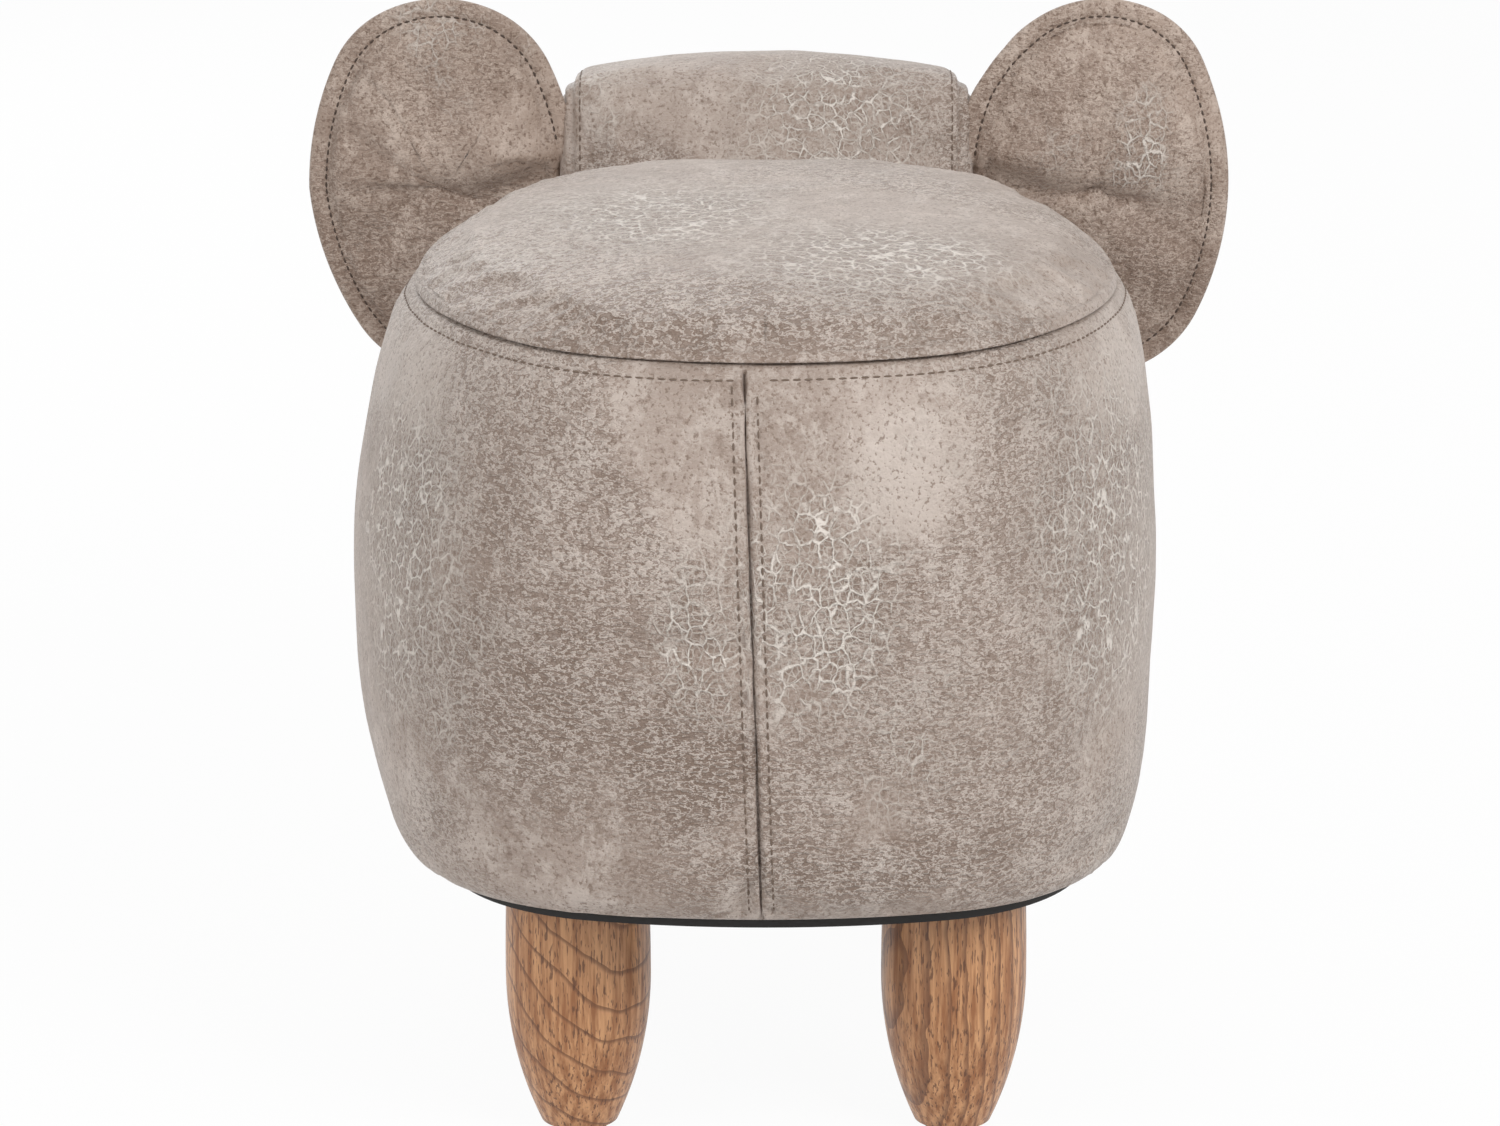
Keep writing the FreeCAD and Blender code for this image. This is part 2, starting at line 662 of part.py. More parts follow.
keep("box_wall_front", cut("box_wall_front", end_front, [box_screw_holes, neck_screw_holes, plate_screw_holes]))
neck_blank = block("neck_blank", "Sizes.block_width", "Sizes.block_depth", "Sizes.block_height",
                   "-Sizes.block_width / 2", BOX_FRONT_Y, RIM + " - Sizes.block_height")
keep("neck_block", cut("neck_block", neck_blank, [neck_screw_holes, plate_screw_holes]))
beam_length = "(%s - %s)" % (HEAD_BOARD_Y, BLOCK_FRONT_Y)
beam_blank = block("beam_blank", "Sizes.beam_width", beam_length, "Sizes.beam_height", "-Sizes.beam_width / 2",
                   BLOCK_FRONT_Y, BEAM_TOP + " - Sizes.beam_height")
keep("neck_beam", cut("neck_beam", beam_blank, head_screw_holes))


def head_board():
    """Plywood board inside the head, with rounded corners so that it can't be felt through the padding."""
    body = doc.addObject("PartDesign::Body", "head_board_blank")
    planes = {plane.Role: plane for plane in body.Origin.OriginFeatures}
    sketch = body.newObject("Sketcher::SketchObject", "head_board_sketch")
    sketch.AttachmentSupport = (planes["XZ_Plane"], "")
    sketch.MapMode = "FlatFace"
    half_width, half_height = size("head_board_width") / 2, size("head_board_height") / 2
    corners = [Vector(-half_width, -half_height), Vector(half_width, -half_height),
               Vector(half_width, half_height), Vector(-half_width, half_height)]
    for number in range(4):
        sketch.addGeometry(Part.LineSegment(corners[number], corners[(number + 1) % 4]))
    for number in range(4):
        sketch.addConstraint(Sketcher.Constraint("Coincident", number, 2, (number + 1) % 4, 1))
        sketch.addConstraint(Sketcher.Constraint("Vertical" if number % 2 else "Horizontal", number))
    sketch.addConstraint(Sketcher.Constraint("Symmetric", 0, 1, 2, 1, -1, 1))
    width = sketch.addConstraint(Sketcher.Constraint("DistanceX", 0, 1, 0, 2, 2 * half_width))
    height = sketch.addConstraint(Sketcher.Constraint("DistanceY", 1, 1, 1, 2, 2 * half_height))
    sketch.setExpression("Constraints[%d]" % width, "Sizes.head_board_width")
    sketch.setExpression("Constraints[%d]" % height, "Sizes.head_board_height")
    board = body.newObject("PartDesign::Pad", "head_board_pad")
    board.Profile = sketch
    board.Reversed = True
    bind(board, Length="Sizes.head_board_thick")
    doc.recompute()
    upright = [number + 1 for number, edge in enumerate(board.Shape.Edges)
               if edge.BoundBox.YLength > 0.9 * size("head_board_thick")]
    rounding = body.newObject("PartDesign::Fillet", "head_board_corners")
    rounding.Base = (board, ["Edge%d" % number for number in upright])
    bind(rounding, Radius="Sizes.head_board_corner")
    body.Tip = rounding
    return bind(body, y=HEAD_BOARD_Y, z=HEAD_MID)


head_blank = head_board()
keep("head_board", cut("head_board", head_blank, head_screw_holes))


# Butt hinges: a fixed plate on the neck block, a leaf under the lid, and a pin through both

along_x = Rotation(Vector(0, 1, 0), 90)
tongue = "(Sizes.knuckle_width / 2 + Sizes.hinge_clear)"
knuckle = "(Sizes.hinge_width / 3)"
bore_radius = "Sizes.pin_width / 2 + Sizes.pin_fit"


def hinge_half(name, middle, knuckles, plate_z, screw_holes):
    """One plate of a hinge with its share of the three knuckles, bored for the pin and the screws."""
    solid = block(name + "_plate", "Sizes.hinge_width", "Sizes.leaf_depth - " + tongue, "Sizes.leaf_thick",
                  "%s - Sizes.hinge_width / 2" % middle, "%s - Sizes.leaf_depth" % AXIS_Y, plate_z)
    for number in knuckles:
        start = "%s - Sizes.hinge_width / 2 + %d * %s + Sizes.knuckle_gap / 2" % (middle, number, knuckle)
        width = "%s - Sizes.knuckle_gap" % knuckle
        strap = block("%s_strap%d" % (name, number), width, tongue, "Sizes.leaf_thick", start,
                      "%s - %s" % (AXIS_Y, tongue), plate_z)
        barrel = rod("%s_barrel%d" % (name, number), "Sizes.knuckle_width / 2", width, start, AXIS_Y, AXIS_Z,
                     along_x)
        solid = fuse("%s_fuse%d" % (name, number), solid, fuse("%s_joint%d" % (name, number), strap, barrel))
    bore = rod(name + "_bore", bore_radius, "Sizes.hinge_width", "%s - Sizes.hinge_width / 2" % middle, AXIS_Y,
               AXIS_Z, along_x)
    return keep(name, cut(name, solid, [bore, screw_holes]))


for side_name, middle in hinge_sides:
    hinge_half("hinge_plate_" + side_name, middle, (0, 2), RIM, plate_screw_holes)
    hinge_half("hinge_leaf_" + side_name, middle, (1,), LID_UNDER, leaf_screw_holes)
    keep("hinge_pin_" + side_name, rod("hinge_pin_" + side_name, "Sizes.pin_width / 2", "Sizes.hinge_width",
                                       "%s - Sizes.hinge_width / 2" % middle, AXIS_Y, AXIS_Z, along_x))


def hinge_rooms():
    """Room for the hinges in the soft parts: a slot for both plates, and a deeper one for the knuckles."""
    spare = size("hinge_room")
    half = size("hinge_width") / 2 + spare
    axis_y, axis_z = value(AXIS_Y), value(AXIS_Z)
    low = value(RIM)
    rooms = []
    for side_name, middle in hinge_sides:
        left = value(middle) - half
        rear = axis_y - size("leaf_depth") - spare
        rooms.append(Part.makeBox(2 * half, axis_y - rear, value(LID_BOARD_UNDER) - low, Vector(left, rear, low)))
        drop = size("knuckle_width") / 2 + spare
        front = value(BLOCK_FRONT_Y)
        rooms.append(Part.makeBox(2 * half, axis_y + drop - front, value(LID_BOARD_UNDER) - axis_z + drop,
                                  Vector(left, front, axis_z - drop)))
    return rooms


# Foam pads round the box, and the sewn cover over them

rooms = hinge_rooms()
thick = size("cover_thick")
cover_hollow = body_form(thick, value(COVER_FOOT) - 2 * thick, value(RIM))
below = Part.makeBox(2 * FAR, 2 * FAR, value(COVER_FOOT), Vector(-FAR, -FAR, 0))
foam_body = cover_hollow.cut(below)
board_solid = prism(body_wire(base_outline, value(BASE_UNDER), thick), size("base_thick"))
box_half, box_rear_y, box_front_y = size("box_width") / 2, value(BOX_REAR_Y), value(BOX_FRONT_Y)
box_solid = Part.makeBox(2 * box_half, box_front_y - box_rear_y, size("box_height"),
                         Vector(-box_half, box_rear_y, value(BASE_TOP)))
block_solid, beam_solid = made(neck_blank), made(beam_blank)
foam_ring = foam_body.cut([board_solid, box_solid, block_solid, beam_solid] + rooms)


def sector(name):
    """Mitred share of the padding that belongs to one wall of the box."""
    spread = 400
    corners = {
        "left": ((-box_half, box_rear_y), (-box_half, box_front_y), (-1, 1), (-1, -1)),
        "right": ((box_half, box_front_y), (box_half, box_rear_y), (1, -1), (1, 1)),
        "rear": ((box_half, box_rear_y), (-box_half, box_rear_y), (-1, -1), (1, -1)),
        "front": ((-box_half, box_front_y), (box_half, box_front_y), (1, 1), (-1, 1)),
    }[name]
    first, second, second_way, first_way = corners
    far_second = (second[0] + spread * second_way[0], second[1] + spread * second_way[1])
    far_first = (first[0] + spread * first_way[0], first[1] + spread * first_way[1])
    foot = value(BASE_UNDER)
    outline = [Vector(x, y, foot) for x, y in (first, second, far_second, far_first, first)]
    return Part.Face(Part.makePolygon(outline)).extrude(Vector(0, 0, 2 * size("box_height")))


for name in ("left", "right", "rear", "front"):
    keep("pad_" + name, soft("pad_" + name, foam_ring.common(sector(name))))

cover_outside = body_form(0, value(COVER_FOOT), value(HEM_TOP))
hem = size("hem_on_ply")
hem_hole = Part.makeBox(2 * (box_half - hem), box_front_y - box_rear_y - 2 * hem, 10 * thick,
                        Vector(hem - box_half, box_rear_y + hem, value(RIM) - thick))
cover = cover_outside.cut(cover_hollow).cut([hem_hole, beam_solid] + rooms)
for name, start in (("left", -FAR), ("right", 0)):
    half_space = Part.makeBox(FAR, 2 * FAR, FAR, Vector(start, -FAR, 0))
    keep("body_cover_" + name, soft("body_cover_" + name, cover.common(half_space)))


# Seat lid: a plywood board, its foam, the sewn cover that turns under the edge, and a cloth lining below

rim_outline = body_outline(1)
lid_under, board_under = value(LID_UNDER), value(LID_BOARD_UNDER)
lid_blank = soft("lid_blank", prism(body_wire(rim_outline, board_under, size("lid_board_inset")),
                                    size("lid_board_thick")))
keep("lid_board", cut("lid_board", lid_blank, leaf_screw_holes))
lid_inside = lid_form(2 * thick, board_under, size("lid_crown") - 2 * thick)
keep("lid_foam", soft("lid_foam", lid_inside.cut([made(lid_blank)] + rooms)))
return_hole = prism(body_wire(rim_outline, lid_under - thick, size("return_width")), 3 * thick)
lid_skin = lid_form(0, lid_under, size("lid_crown")).cut([lid_inside, return_hole] + rooms)
keep("lid_cover", soft("lid_cover", lid_skin))
lining_wire = body_wire(rim_outline, board_under - size("lining_thick"),
                        size("return_width") + size("lid_lining_gap"))
keep("lid_lining", soft("lid_lining", prism(lining_wire, size("lining_thick")).cut(rooms)))


# Stuffed head and neck, in a cover of three panels

head_outside, head_inside = head_form(0), head_form(thick)
board_in_head = made(head_blank)
eye_turn = math.radians(size("eye_turn"))


def eye_seat(sign):
    """Point of the head's cover that an eye sits on, and the direction that the eye looks in."""
    look = Vector(sign * math.cos(eye_turn), math.sin(eye_turn), 0)
    inside = Vector(0, value(HEAD_BACK_Y) + size("head_depth") / 2, size("eye_height"))
    line = Part.makeLine(inside, inside + look * FAR).common(head_outside)
    return max((vertex.Point for vertex in line.Vertexes), key=lambda point: point.dot(look)), look


eyes, posts, washers = {}, [], []
for side_name, sign in (("left", -1), ("right", 1)):
    seat, look = eye_seat(sign)
    rise, half = size("eye_rise"), size("eye_width") / 2
    ball = (half ** 2 + rise ** 2) / (2 * rise)
    dome = Part.makeSphere(ball, seat - look * (ball - rise))
    washer_top = seat - look * (thick + size("eye_washer_sink"))
    post = Part.makeCylinder(size("eye_post_width") / 2, size("eye_post_length"), seat, look * -1)
    washer = Part.makeCylinder(size("eye_washer_width") / 2, size("eye_washer_thick"),
                               washer_top - look * size("eye_washer_thick"), look * -1)
    eyes[side_name] = dome.cut(head_outside).fuse(post).removeSplitter()
    posts.append(post)
    washers.append(washer.cut(post))
    keep("eye_" + side_name, soft("eye_" + side_name, eyes[side_name]))
keep("eye_washers", soft("eye_washers", Part.makeCompound(washers)))

trunk_outside, trunk_inside = trunk_form(0), trunk_form(thick)
stuffing = head_inside.cut([cover_outside, beam_solid, board_in_head] + posts + washers)
keep("head_padding", soft("head_padding", stuffing))
head_skin = head_outside.cut(head_inside).cut([cover_outside] + posts)
seam = size("head_width") / 2 - size("head_seam_inset")
for name, start, width in (("left", -FAR, FAR - seam), ("centre", -seam, 2 * seam), ("right", seam, FAR - seam)):
    share = Part.makeBox(width, 2 * FAR, FAR, Vector(start, -FAR, 0))
    keep("head_cover_" + name, soft("head_cover_" + name, head_skin.common(share)))

keep("trunk_filling", soft("trunk_filling", trunk_inside.cut(head_outside)))
keep("trunk_cover", soft("trunk_cover", trunk_outside.cut(trunk_inside).cut(head_outside)))


# Ears: two leather faces sewn flat round their rim, with a thin filling between them

def ear_form(sign, sections):
    """Ear between sections of (inset from its outline, offset along Y)."""
    half_width, half_height = size("ear_width") / 2, size("ear_height") / 2
    middle_x = sign * (size("head_width") / 2 - size("ear_overlap") + half_width)
    middle_z = size("ear_top") - half_height
    middle_y = value(HEAD_BACK_Y) + size("ear_back")
    wires = []
    for inset, offset in sections:

        def place(u, v, y=middle_y + offset):
            return Vector(middle_x + u, y, middle_z + v)

        wires.append(oval_wire(half_width - inset, half_height - inset, 0.8, place))
    return loft(wires)


rim, full = size("ear_rim"), size("ear_thick") / 2
for side_name, sign in (("left", -1), ("right", 1)):
    filling_sections = []
    skin_sections = []
    for way, offset in ((2.6, -1), (1.5, -0.8), (1, 0), (1.5, 0.8), (2.6, 1)):
        filling_sections.append((rim * way + thick, offset * (full - thick)))
        skin_sections.append((rim * way, offset * full))
    filling = ear_form(sign, filling_sections)
    flat_rim = ear_form(sign, ((0, -thick), (0, thick)))
    skin = flat_rim.fuse(ear_form(sign, skin_sections))
    keep("ear_%s_filling" % side_name, soft("ear_filling_" + side_name, filling.cut(head_outside)))
    keep("ear_%s_cover" % side_name, soft("ear_cover_" + side_name, skin.cut(filling).cut(head_outside)))

doc.recompute()

# Every object and every shape is sound before anything is written
for piece in doc.Objects:
    if "Invalid" in piece.State or "Error" in piece.State:
        raise RuntimeError("failed: " + piece.Label)
for label, piece in NODES.items():
    if piece.Shape.isNull() or not piece.Shape.isValid() or not piece.Shape.Solids:
        raise RuntimeError("bad shape: " + label)

os.makedirs("parts", exist_ok=True)
for label, piece in NODES.items():
    piece.Shape.exportStep("parts/%s.step" % label)
    print(label, len(piece.Shape.Solids), round(piece.Shape.Volume))
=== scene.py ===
import math

import bpy
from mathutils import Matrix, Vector, noise


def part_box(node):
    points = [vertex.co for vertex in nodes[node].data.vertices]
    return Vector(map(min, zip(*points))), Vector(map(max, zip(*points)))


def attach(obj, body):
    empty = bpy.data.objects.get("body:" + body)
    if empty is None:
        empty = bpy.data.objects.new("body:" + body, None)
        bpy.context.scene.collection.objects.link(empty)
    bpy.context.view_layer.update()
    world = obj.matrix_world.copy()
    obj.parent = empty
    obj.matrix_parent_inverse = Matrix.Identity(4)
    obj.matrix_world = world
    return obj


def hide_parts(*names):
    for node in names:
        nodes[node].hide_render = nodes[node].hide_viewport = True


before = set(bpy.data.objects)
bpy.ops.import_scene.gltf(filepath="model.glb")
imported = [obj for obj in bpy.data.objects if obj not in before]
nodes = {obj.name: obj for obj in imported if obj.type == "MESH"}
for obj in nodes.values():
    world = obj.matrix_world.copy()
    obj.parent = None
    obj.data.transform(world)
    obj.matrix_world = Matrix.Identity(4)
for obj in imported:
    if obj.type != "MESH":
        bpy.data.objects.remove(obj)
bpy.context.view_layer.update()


# Base board: plywood cut to the body's plan and painted black.
# Its edge shows as a thin black line under the leather, and the legs are bolted to it from below.

def tone(red, green, blue):
    """Linear colour of a shade given in 8-bit screen values."""
    def linear(part):
        part = part / 255
        return part / 12.92 if part <= 0.04045 else ((part + 0.055) / 1.055) ** 2.4

    return (linear(red), linear(green), linear(blue), 1)


class Finish:
    """Node material: each call adds one node, sets or links its inputs and gives back an output."""

    def __init__(self, name):
        self.material = bpy.data.materials.new(name)
        self.material.use_nodes = True
        self.tree = self.material.node_tree
        self.shader = self.tree.nodes["Principled BSDF"]
        self.place = self.tree.nodes.new("ShaderNodeTexCoord").outputs["Object"]

    def plug(self, socket, thing):
        if isinstance(thing, bpy.types.NodeSocket):
            self.tree.links.new(thing, socket)
        else:
            socket.default_value = thing

    def add(self, kind, inputs, output=0, **settings):
        made = self.tree.nodes.new("ShaderNode" + kind)
        for key, setting in settings.items():
            setattr(made, key, setting)
        for key, thing in inputs.items():
            self.plug(made.inputs[key], thing)
        return made.outputs[output]

    def noise(self, scale, detail, rough, at=None):
        return self.add("TexNoise", {"Vector": at or self.place, "Scale": scale, "Detail": detail,
                                     "Roughness": rough})

    def cells(self, scale, at):
        """Distance to the nearest edge in a pattern of irregular cells."""
        return self.add("TexVoronoi", {"Vector": at, "Scale": scale}, output="Distance",
                        feature="DISTANCE_TO_EDGE")

    def ramp(self, thing, low, high, to_low=0.0, to_high=1.0):
        return self.add("MapRange", {"Value": thing, "From Min": low, "From Max": high, "To Min": to_low,
                                     "To Max": to_high}, interpolation_type="SMOOTHSTEP")

    def math(self, operation, first, second=0.0):
        return self.add("Math", {0: first, 1: second}, operation=operation)

    def times(self, first, second):
        return self.math("MULTIPLY", first, second)

    def vector(self, operation, *things):
        return self.add("VectorMath", dict(enumerate(things)), operation=operation)

    def drift(self, at, scale, amount, detail):
        """Place shifted by noise, up to about half the amount each way."""
        shift = self.add("TexNoise", {"Vector": at, "Scale": scale, "Detail": detail}, output="Color")
        shift = self.vector("SUBTRACT", shift, (0.5, 0.5, 0.5))
        return self.vector("MULTIPLY_ADD", shift, (amount, amount, amount), at)

    def mix(self, share, first, second):
        return self.add("Mix", {0: share, 6: first, 7: second}, output=2, data_type="RGBA")

    def moved(self, location=(0, 0, 0), turn=(0, 0, 0), scale=(1, 1, 1), at=None):
        return self.add("Mapping", {"Vector": at or self.place, "Location": location, "Rotation": turn,
                                    "Scale": scale})

    def bump(self, height, distance, strength):
        return self.add("Bump", {"Height": height, "Distance": distance, "Strength": strength})

    def surface(self, **inputs):
        for key, thing in inputs.items():
            self.plug(self.shader.inputs[key.replace("_", " ")], thing)
        return self.material

    def two_tone(self, pattern, tones, roughness, relief, **others):
        """Surface whose shade, gloss and relief all follow one pattern."""
        return self.surface(Base_Color=self.mix(self.ramp(pattern, 0.3, 0.7), *tones),
                            Roughness=self.ramp(pattern, 0.3, 0.7, *roughness),
                            Normal=self.bump(pattern, *relief), **others)


def coat(piece, material):
    piece.data.materials.clear()
    piece.data.materials.append(material)


paint = Finish("black_paint")
fibres = paint.noise(420, 5, 0.6, paint.moved(scale=(1, 1, 6)))
black_paint = paint.two_tone(fibres, (tone(15, 12, 10), tone(28, 24, 21)), (0.55, 0.75), (0.0003, 0.5))
coat(nodes["base_board"], black_paint)


# Dust cover: black non-woven cloth stapled under the base board.
# It is cut a little smaller than the board, and the leg bolts go through it.

BASE_PLAN = {"half": 0.130, "rear": 0.143, "front": 0.158, "rear_radius": 0.075, "front_radius": 0.055,
             "side_bulge": 0.005, "rear_bulge": 0.006}
RIM_PLAN = {"half": 0.136, "rear": 0.149, "front": 0.168, "rear_radius": 0.092, "front_radius": 0.060,
            "side_bulge": 0.020, "rear_bulge": 0.004}
WIDEST_Y = -0.112
FRONT_STRAIGHT = 0.050
# Columns along the neck, its corner, the flank, the side, the rear corner and the rump.
SIDE_STEPS = (10, 16, 34, 34, 34, 26)
RUMP_CROWDING = 2.1


def plan(level):
    """Sizes of the body's egg-shaped plan, from the base (0) to the rim under the lid (1), in metres."""
    return [low + level * (RIM_PLAN[size] - low) for size, low in BASE_PLAN.items()]


def half_plan(level, out):
    """Right half of the plan, from the middle of the neck side to the middle of the rump, moved outwards."""
    half, rear, front, rear_radius, front_radius, side_bulge, rear_bulge = plan(level)
    corner = (half - side_bulge - rear_radius, rear_bulge + rear_radius - rear)
    side = ((side_bulge + rear_radius) ** 2 + corner[1] ** 2 - rear_radius ** 2) / (2 * side_bulge)
    end = ((rear_bulge + rear_radius) ** 2 + corner[0] ** 2 - rear_radius ** 2) / (2 * rear_bulge)
    nose = (FRONT_STRAIGHT, front - front_radius)
    reach = half - nose[0]
    flank = (reach ** 2 + nose[1] ** 2 - front_radius ** 2) / (2 * (reach - front_radius))
    side_middle, end_middle, flank_middle = (half - side, 0), (0, end - rear), (half - flank, 0)

    def towards(start, finish):
        return math.atan2(finish[1] - start[1], finish[0] - start[0])

    def on_arc(middle, radius, turn):
        return (middle[0] + (radius + out) * math.cos(turn), middle[1] + (radius + out) * math.sin(turn))

    flank_end, side_end = towards(flank_middle, nose), towards(side_middle, corner)
    end_start = towards(end_middle, corner)
    points = []
    for step in range(SIDE_STEPS[0]):
        points.append((nose[0] * step / SIDE_STEPS[0], front + out))
    arcs = ((nose, front_radius, math.pi / 2, flank_end), (flank_middle, flank, flank_end, 0),
            (side_middle, side, 0, side_end), (corner, rear_radius, side_end, end_start))
    for (middle, radius, first, last), steps in zip(arcs, SIDE_STEPS[1:]):
        for step in range(steps):
            points.append(on_arc(middle, radius, first + (last - first) * step / steps))
    for step in range(SIDE_STEPS[-1] + 1):
        share = 1 - (1 - step / SIDE_STEPS[-1]) ** RUMP_CROWDING
        points.append(on_arc(end_middle, end, end_start + (-math.pi / 2 - end_start) * share))
    return [(x, WIDEST_Y + y) for x, y in points]


COLUMNS = sum(SIDE_STEPS)
MERGE = 0.00002


def faces_outward(merged=False):
    """Turn the faces of the active piece outwards and shade it smooth; where asked, merge its joins first."""
    bpy.ops.object.mode_set(mode="EDIT")
    bpy.ops.mesh.select_all(action="SELECT")
    if merged:
        bpy.ops.mesh.remove_doubles(threshold=MERGE)
    bpy.ops.mesh.normals_make_consistent(inside=False)
    bpy.ops.object.mode_set(mode="OBJECT")
    bpy.ops.object.shade_smooth()


def wrapped(name, columns, rows, place, closed=False):
    """Flat grid wrapped in space, point by point; a closed one has its joins and poles merged."""
    bpy.ops.object.select_all(action="DESELECT")
    bpy.ops.mesh.primitive_grid_add(x_subdivisions=columns, y_subdivisions=rows, size=1)
    piece = bpy.context.object
    piece.name = name
    for vertex in piece.data.vertices:
        column, row = round((vertex.co.x + 0.5) * columns), round((vertex.co.y + 0.5) * rows)
        vertex.co = place(column, row)
    faces_outward(closed)
    return piece


def flip_faces():
    """Turn the faces of the active piece round."""
    bpy.ops.object.mode_set(mode="EDIT")
    bpy.ops.mesh.flip_normals()
    bpy.ops.object.mode_set(mode="OBJECT")


def apply(piece, modifier):
    bpy.context.view_layer.objects.active = piece
    bpy.ops.object.modifier_apply(modifier=modifier.name)


def thicken(piece, thickness):
    wall = piece.modifiers.new("wall", "SOLIDIFY")
    wall.thickness = thickness
    wall.offset = -1
    apply(piece, wall)


def loop_point(points, column):
    """Point of the whole plan, whose right half is given: first the right half, then the left one back."""
    last = len(points) - 1
    if column <= last:
        return points[column]
    x, y = points[2 * last - column]
    return (-x, y)


def flat_disc(name, outline, height, crease):
    """Cloth disc on the plan, with small creases; its middle lies on the plan's long axis."""
    middle = sum(y for _, y in outline) / len(outline)
    rings, crowding = 16, 0.7
    creases_per_metre = 40

    def place(column, ring):
        x, y = loop_point(outline, column)
        share = (ring / rings) ** crowding
        x, y = x * share, middle + (y - middle) * share
        slack = noise.noise(Vector((x, y, height)) * creases_per_metre) * (1 - share ** 6)
        return (x, y, height + crease * slack)

    return wrapped(name, 2 * COLUMNS, rings, place, closed=True)


cloth = Finish("black_cloth")
weave = cloth.noise(1500, 3, 0.6)
blots = cloth.noise(90, 4, 0.6)
black_cloth = cloth.surface(
    Base_Color=cloth.mix(cloth.ramp(blots, 0.3, 0.7), tone(14, 13, 13), tone(30, 29, 28)),
    Roughness=cloth.ramp(weave, 0.2, 0.8, 0.8, 0.98), Normal=cloth.bump(weave, 0.0002, 0.6))
dust_low, dust_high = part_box("dust_cover")
DUST_INSET, DUST_LIFT, DUST_CREASE = 0.003, 0.0006, 0.0003
dust = flat_disc("dust_cloth", half_plan(0, -DUST_INSET), dust_low[2] + DUST_LIFT, DUST_CREASE)
coat(dust, black_cloth)
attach(dust, "body")
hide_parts("dust_cover")


# Legs: solid wood, turned to a bulb that tapers to a small foot, lacquered to a satin sheen.
# Each leg is cut from its own piece of wood, so the grain runs differently in all of them.

def leg_wood(name, foot, across, spacing, line):
    """Wood of one leg: dark year lines a spacing apart, square to a direction, as the turning cuts them.

    Line is the share of a year that its dark late wood takes.
    """
    wood = Finish(name)
    upright = wood.vector("SUBTRACT", wood.place, foot)
    across = tuple(part / spacing for part in across)
    layers = wood.add("VectorMath", {0: wood.drift(upright, 26, 0.012, 3), 1: across}, output="Value",
                      operation="DOT_PRODUCT")
    late = wood.ramp(wood.math("FRACT", layers), 1 - line, 0.97)
    streaks = wood.noise(380, 4, 0.65, wood.moved(scale=(1, 1, 0.07), at=upright))
    pores = wood.noise(1150, 2, 0.5, wood.moved(scale=(1, 1, 0.16), at=upright))
    pores = wood.ramp(pores, 0.575, 0.64)
    shade = wood.mix(wood.ramp(streaks, 0.32, 0.68), tone(209, 156, 110), tone(149, 96, 57))
    shade = wood.mix(wood.times(late, 0.72), shade, tone(104, 62, 36))
    shade = wood.mix(wood.times(pores, 0.75), shade, tone(84, 48, 27))
    return wood.surface(Base_Color=shade, Roughness=wood.ramp(streaks, 0.3, 0.7, 0.36, 0.5),
                        Normal=wood.bump(wood.math("SUBTRACT", streaks, pores), 0.00012, 0.4),
                        Coat_Weight=0.15, Coat_Roughness=0.25)


LEG_X, LEG_REAR_Y, LEG_FRONT_Y, LEG_MIDDLE_Z = 0.073, -0.192, 0.010, 0.05
leg_cuts = {
    "leg_rear_left": ((-LEG_X, LEG_REAR_Y, LEG_MIDDLE_Z), (0.75, -0.6, 1), 0.0165, 0.17),
    "leg_rear_right": ((LEG_X, LEG_REAR_Y, LEG_MIDDLE_Z), (1, 0.5, 0.05), 0.0075, 0.4),
    "leg_front_left": ((-LEG_X, LEG_FRONT_Y, LEG_MIDDLE_Z), (0.8, -0.5, 0.25), 0.0075, 0.4),
    "leg_front_right": ((LEG_X, LEG_FRONT_Y, LEG_MIDDLE_Z), (0.5, 0.9, 0.4), 0.008, 0.35),
}
for name, leg_cut in leg_cuts.items():
    coat(nodes[name], leg_wood(name + "_wood", *leg_cut))


# Bolts, tee nuts, screws and hinges: zinc-plated steel, as bought.
# Only the hinges show, and only when the lid is up.

steel = Finish("zinc_plate")
spangle = steel.noise(240, 4, 0.6)
zinc_plate = steel.two_tone(spangle, (tone(176, 178, 182), tone(206, 208, 210)), (0.28, 0.45), (0.0001, 0.3),
                            Metallic=1.0)
for part in ("leg_bolts", "leg_tee_nuts", "box_screws", "neck_screws", "head_screws", "hinge_plate_screws",
             "hinge_leaf_screws"):
    coat(nodes[part], zinc_plate)
for part in ("hinge_plate_", "hinge_leaf_", "hinge_pin_"):
    for side_name in ("left", "right"):
        coat(nodes[part + side_name], zinc_plate)


# Foot glides: black moulded plastic discs nailed under the legs.
# The washers that hold the eyes inside the head are of the same plastic.

plastic = Finish("black_plastic")
mould = plastic.noise(800, 3, 0.5)
black_plastic = plastic.two_tone(mould, (tone(24, 23, 22), tone(38, 37, 36)), (0.45, 0.65), (0.0001, 0.5))
for part in ("foot_glides", "eye_washers"):
    coat(nodes[part], black_plastic)


# Storage box: four plywood walls on the base board, with softwood blocks that carry the hinges and the head.
# Only the top edges of the walls show, inside the hem of the leather.

def timber(name, light, dark, along):
    wood = Finish(name)
    stretched = wood.moved(scale=along)
    streaks = wood.noise(160, 5, 0.6, stretched)
    fine = wood.noise(900, 3, 0.6, stretched)
    shade = wood.mix(wood.ramp(streaks, 0.3, 0.72), light, dark)
    return wood.surface(Base_Color=shade, Roughness=wood.ramp(fine, 0.2, 0.8, 0.6, 0.8),
                        Normal=wood.bump(fine, 0.0002, 0.5))


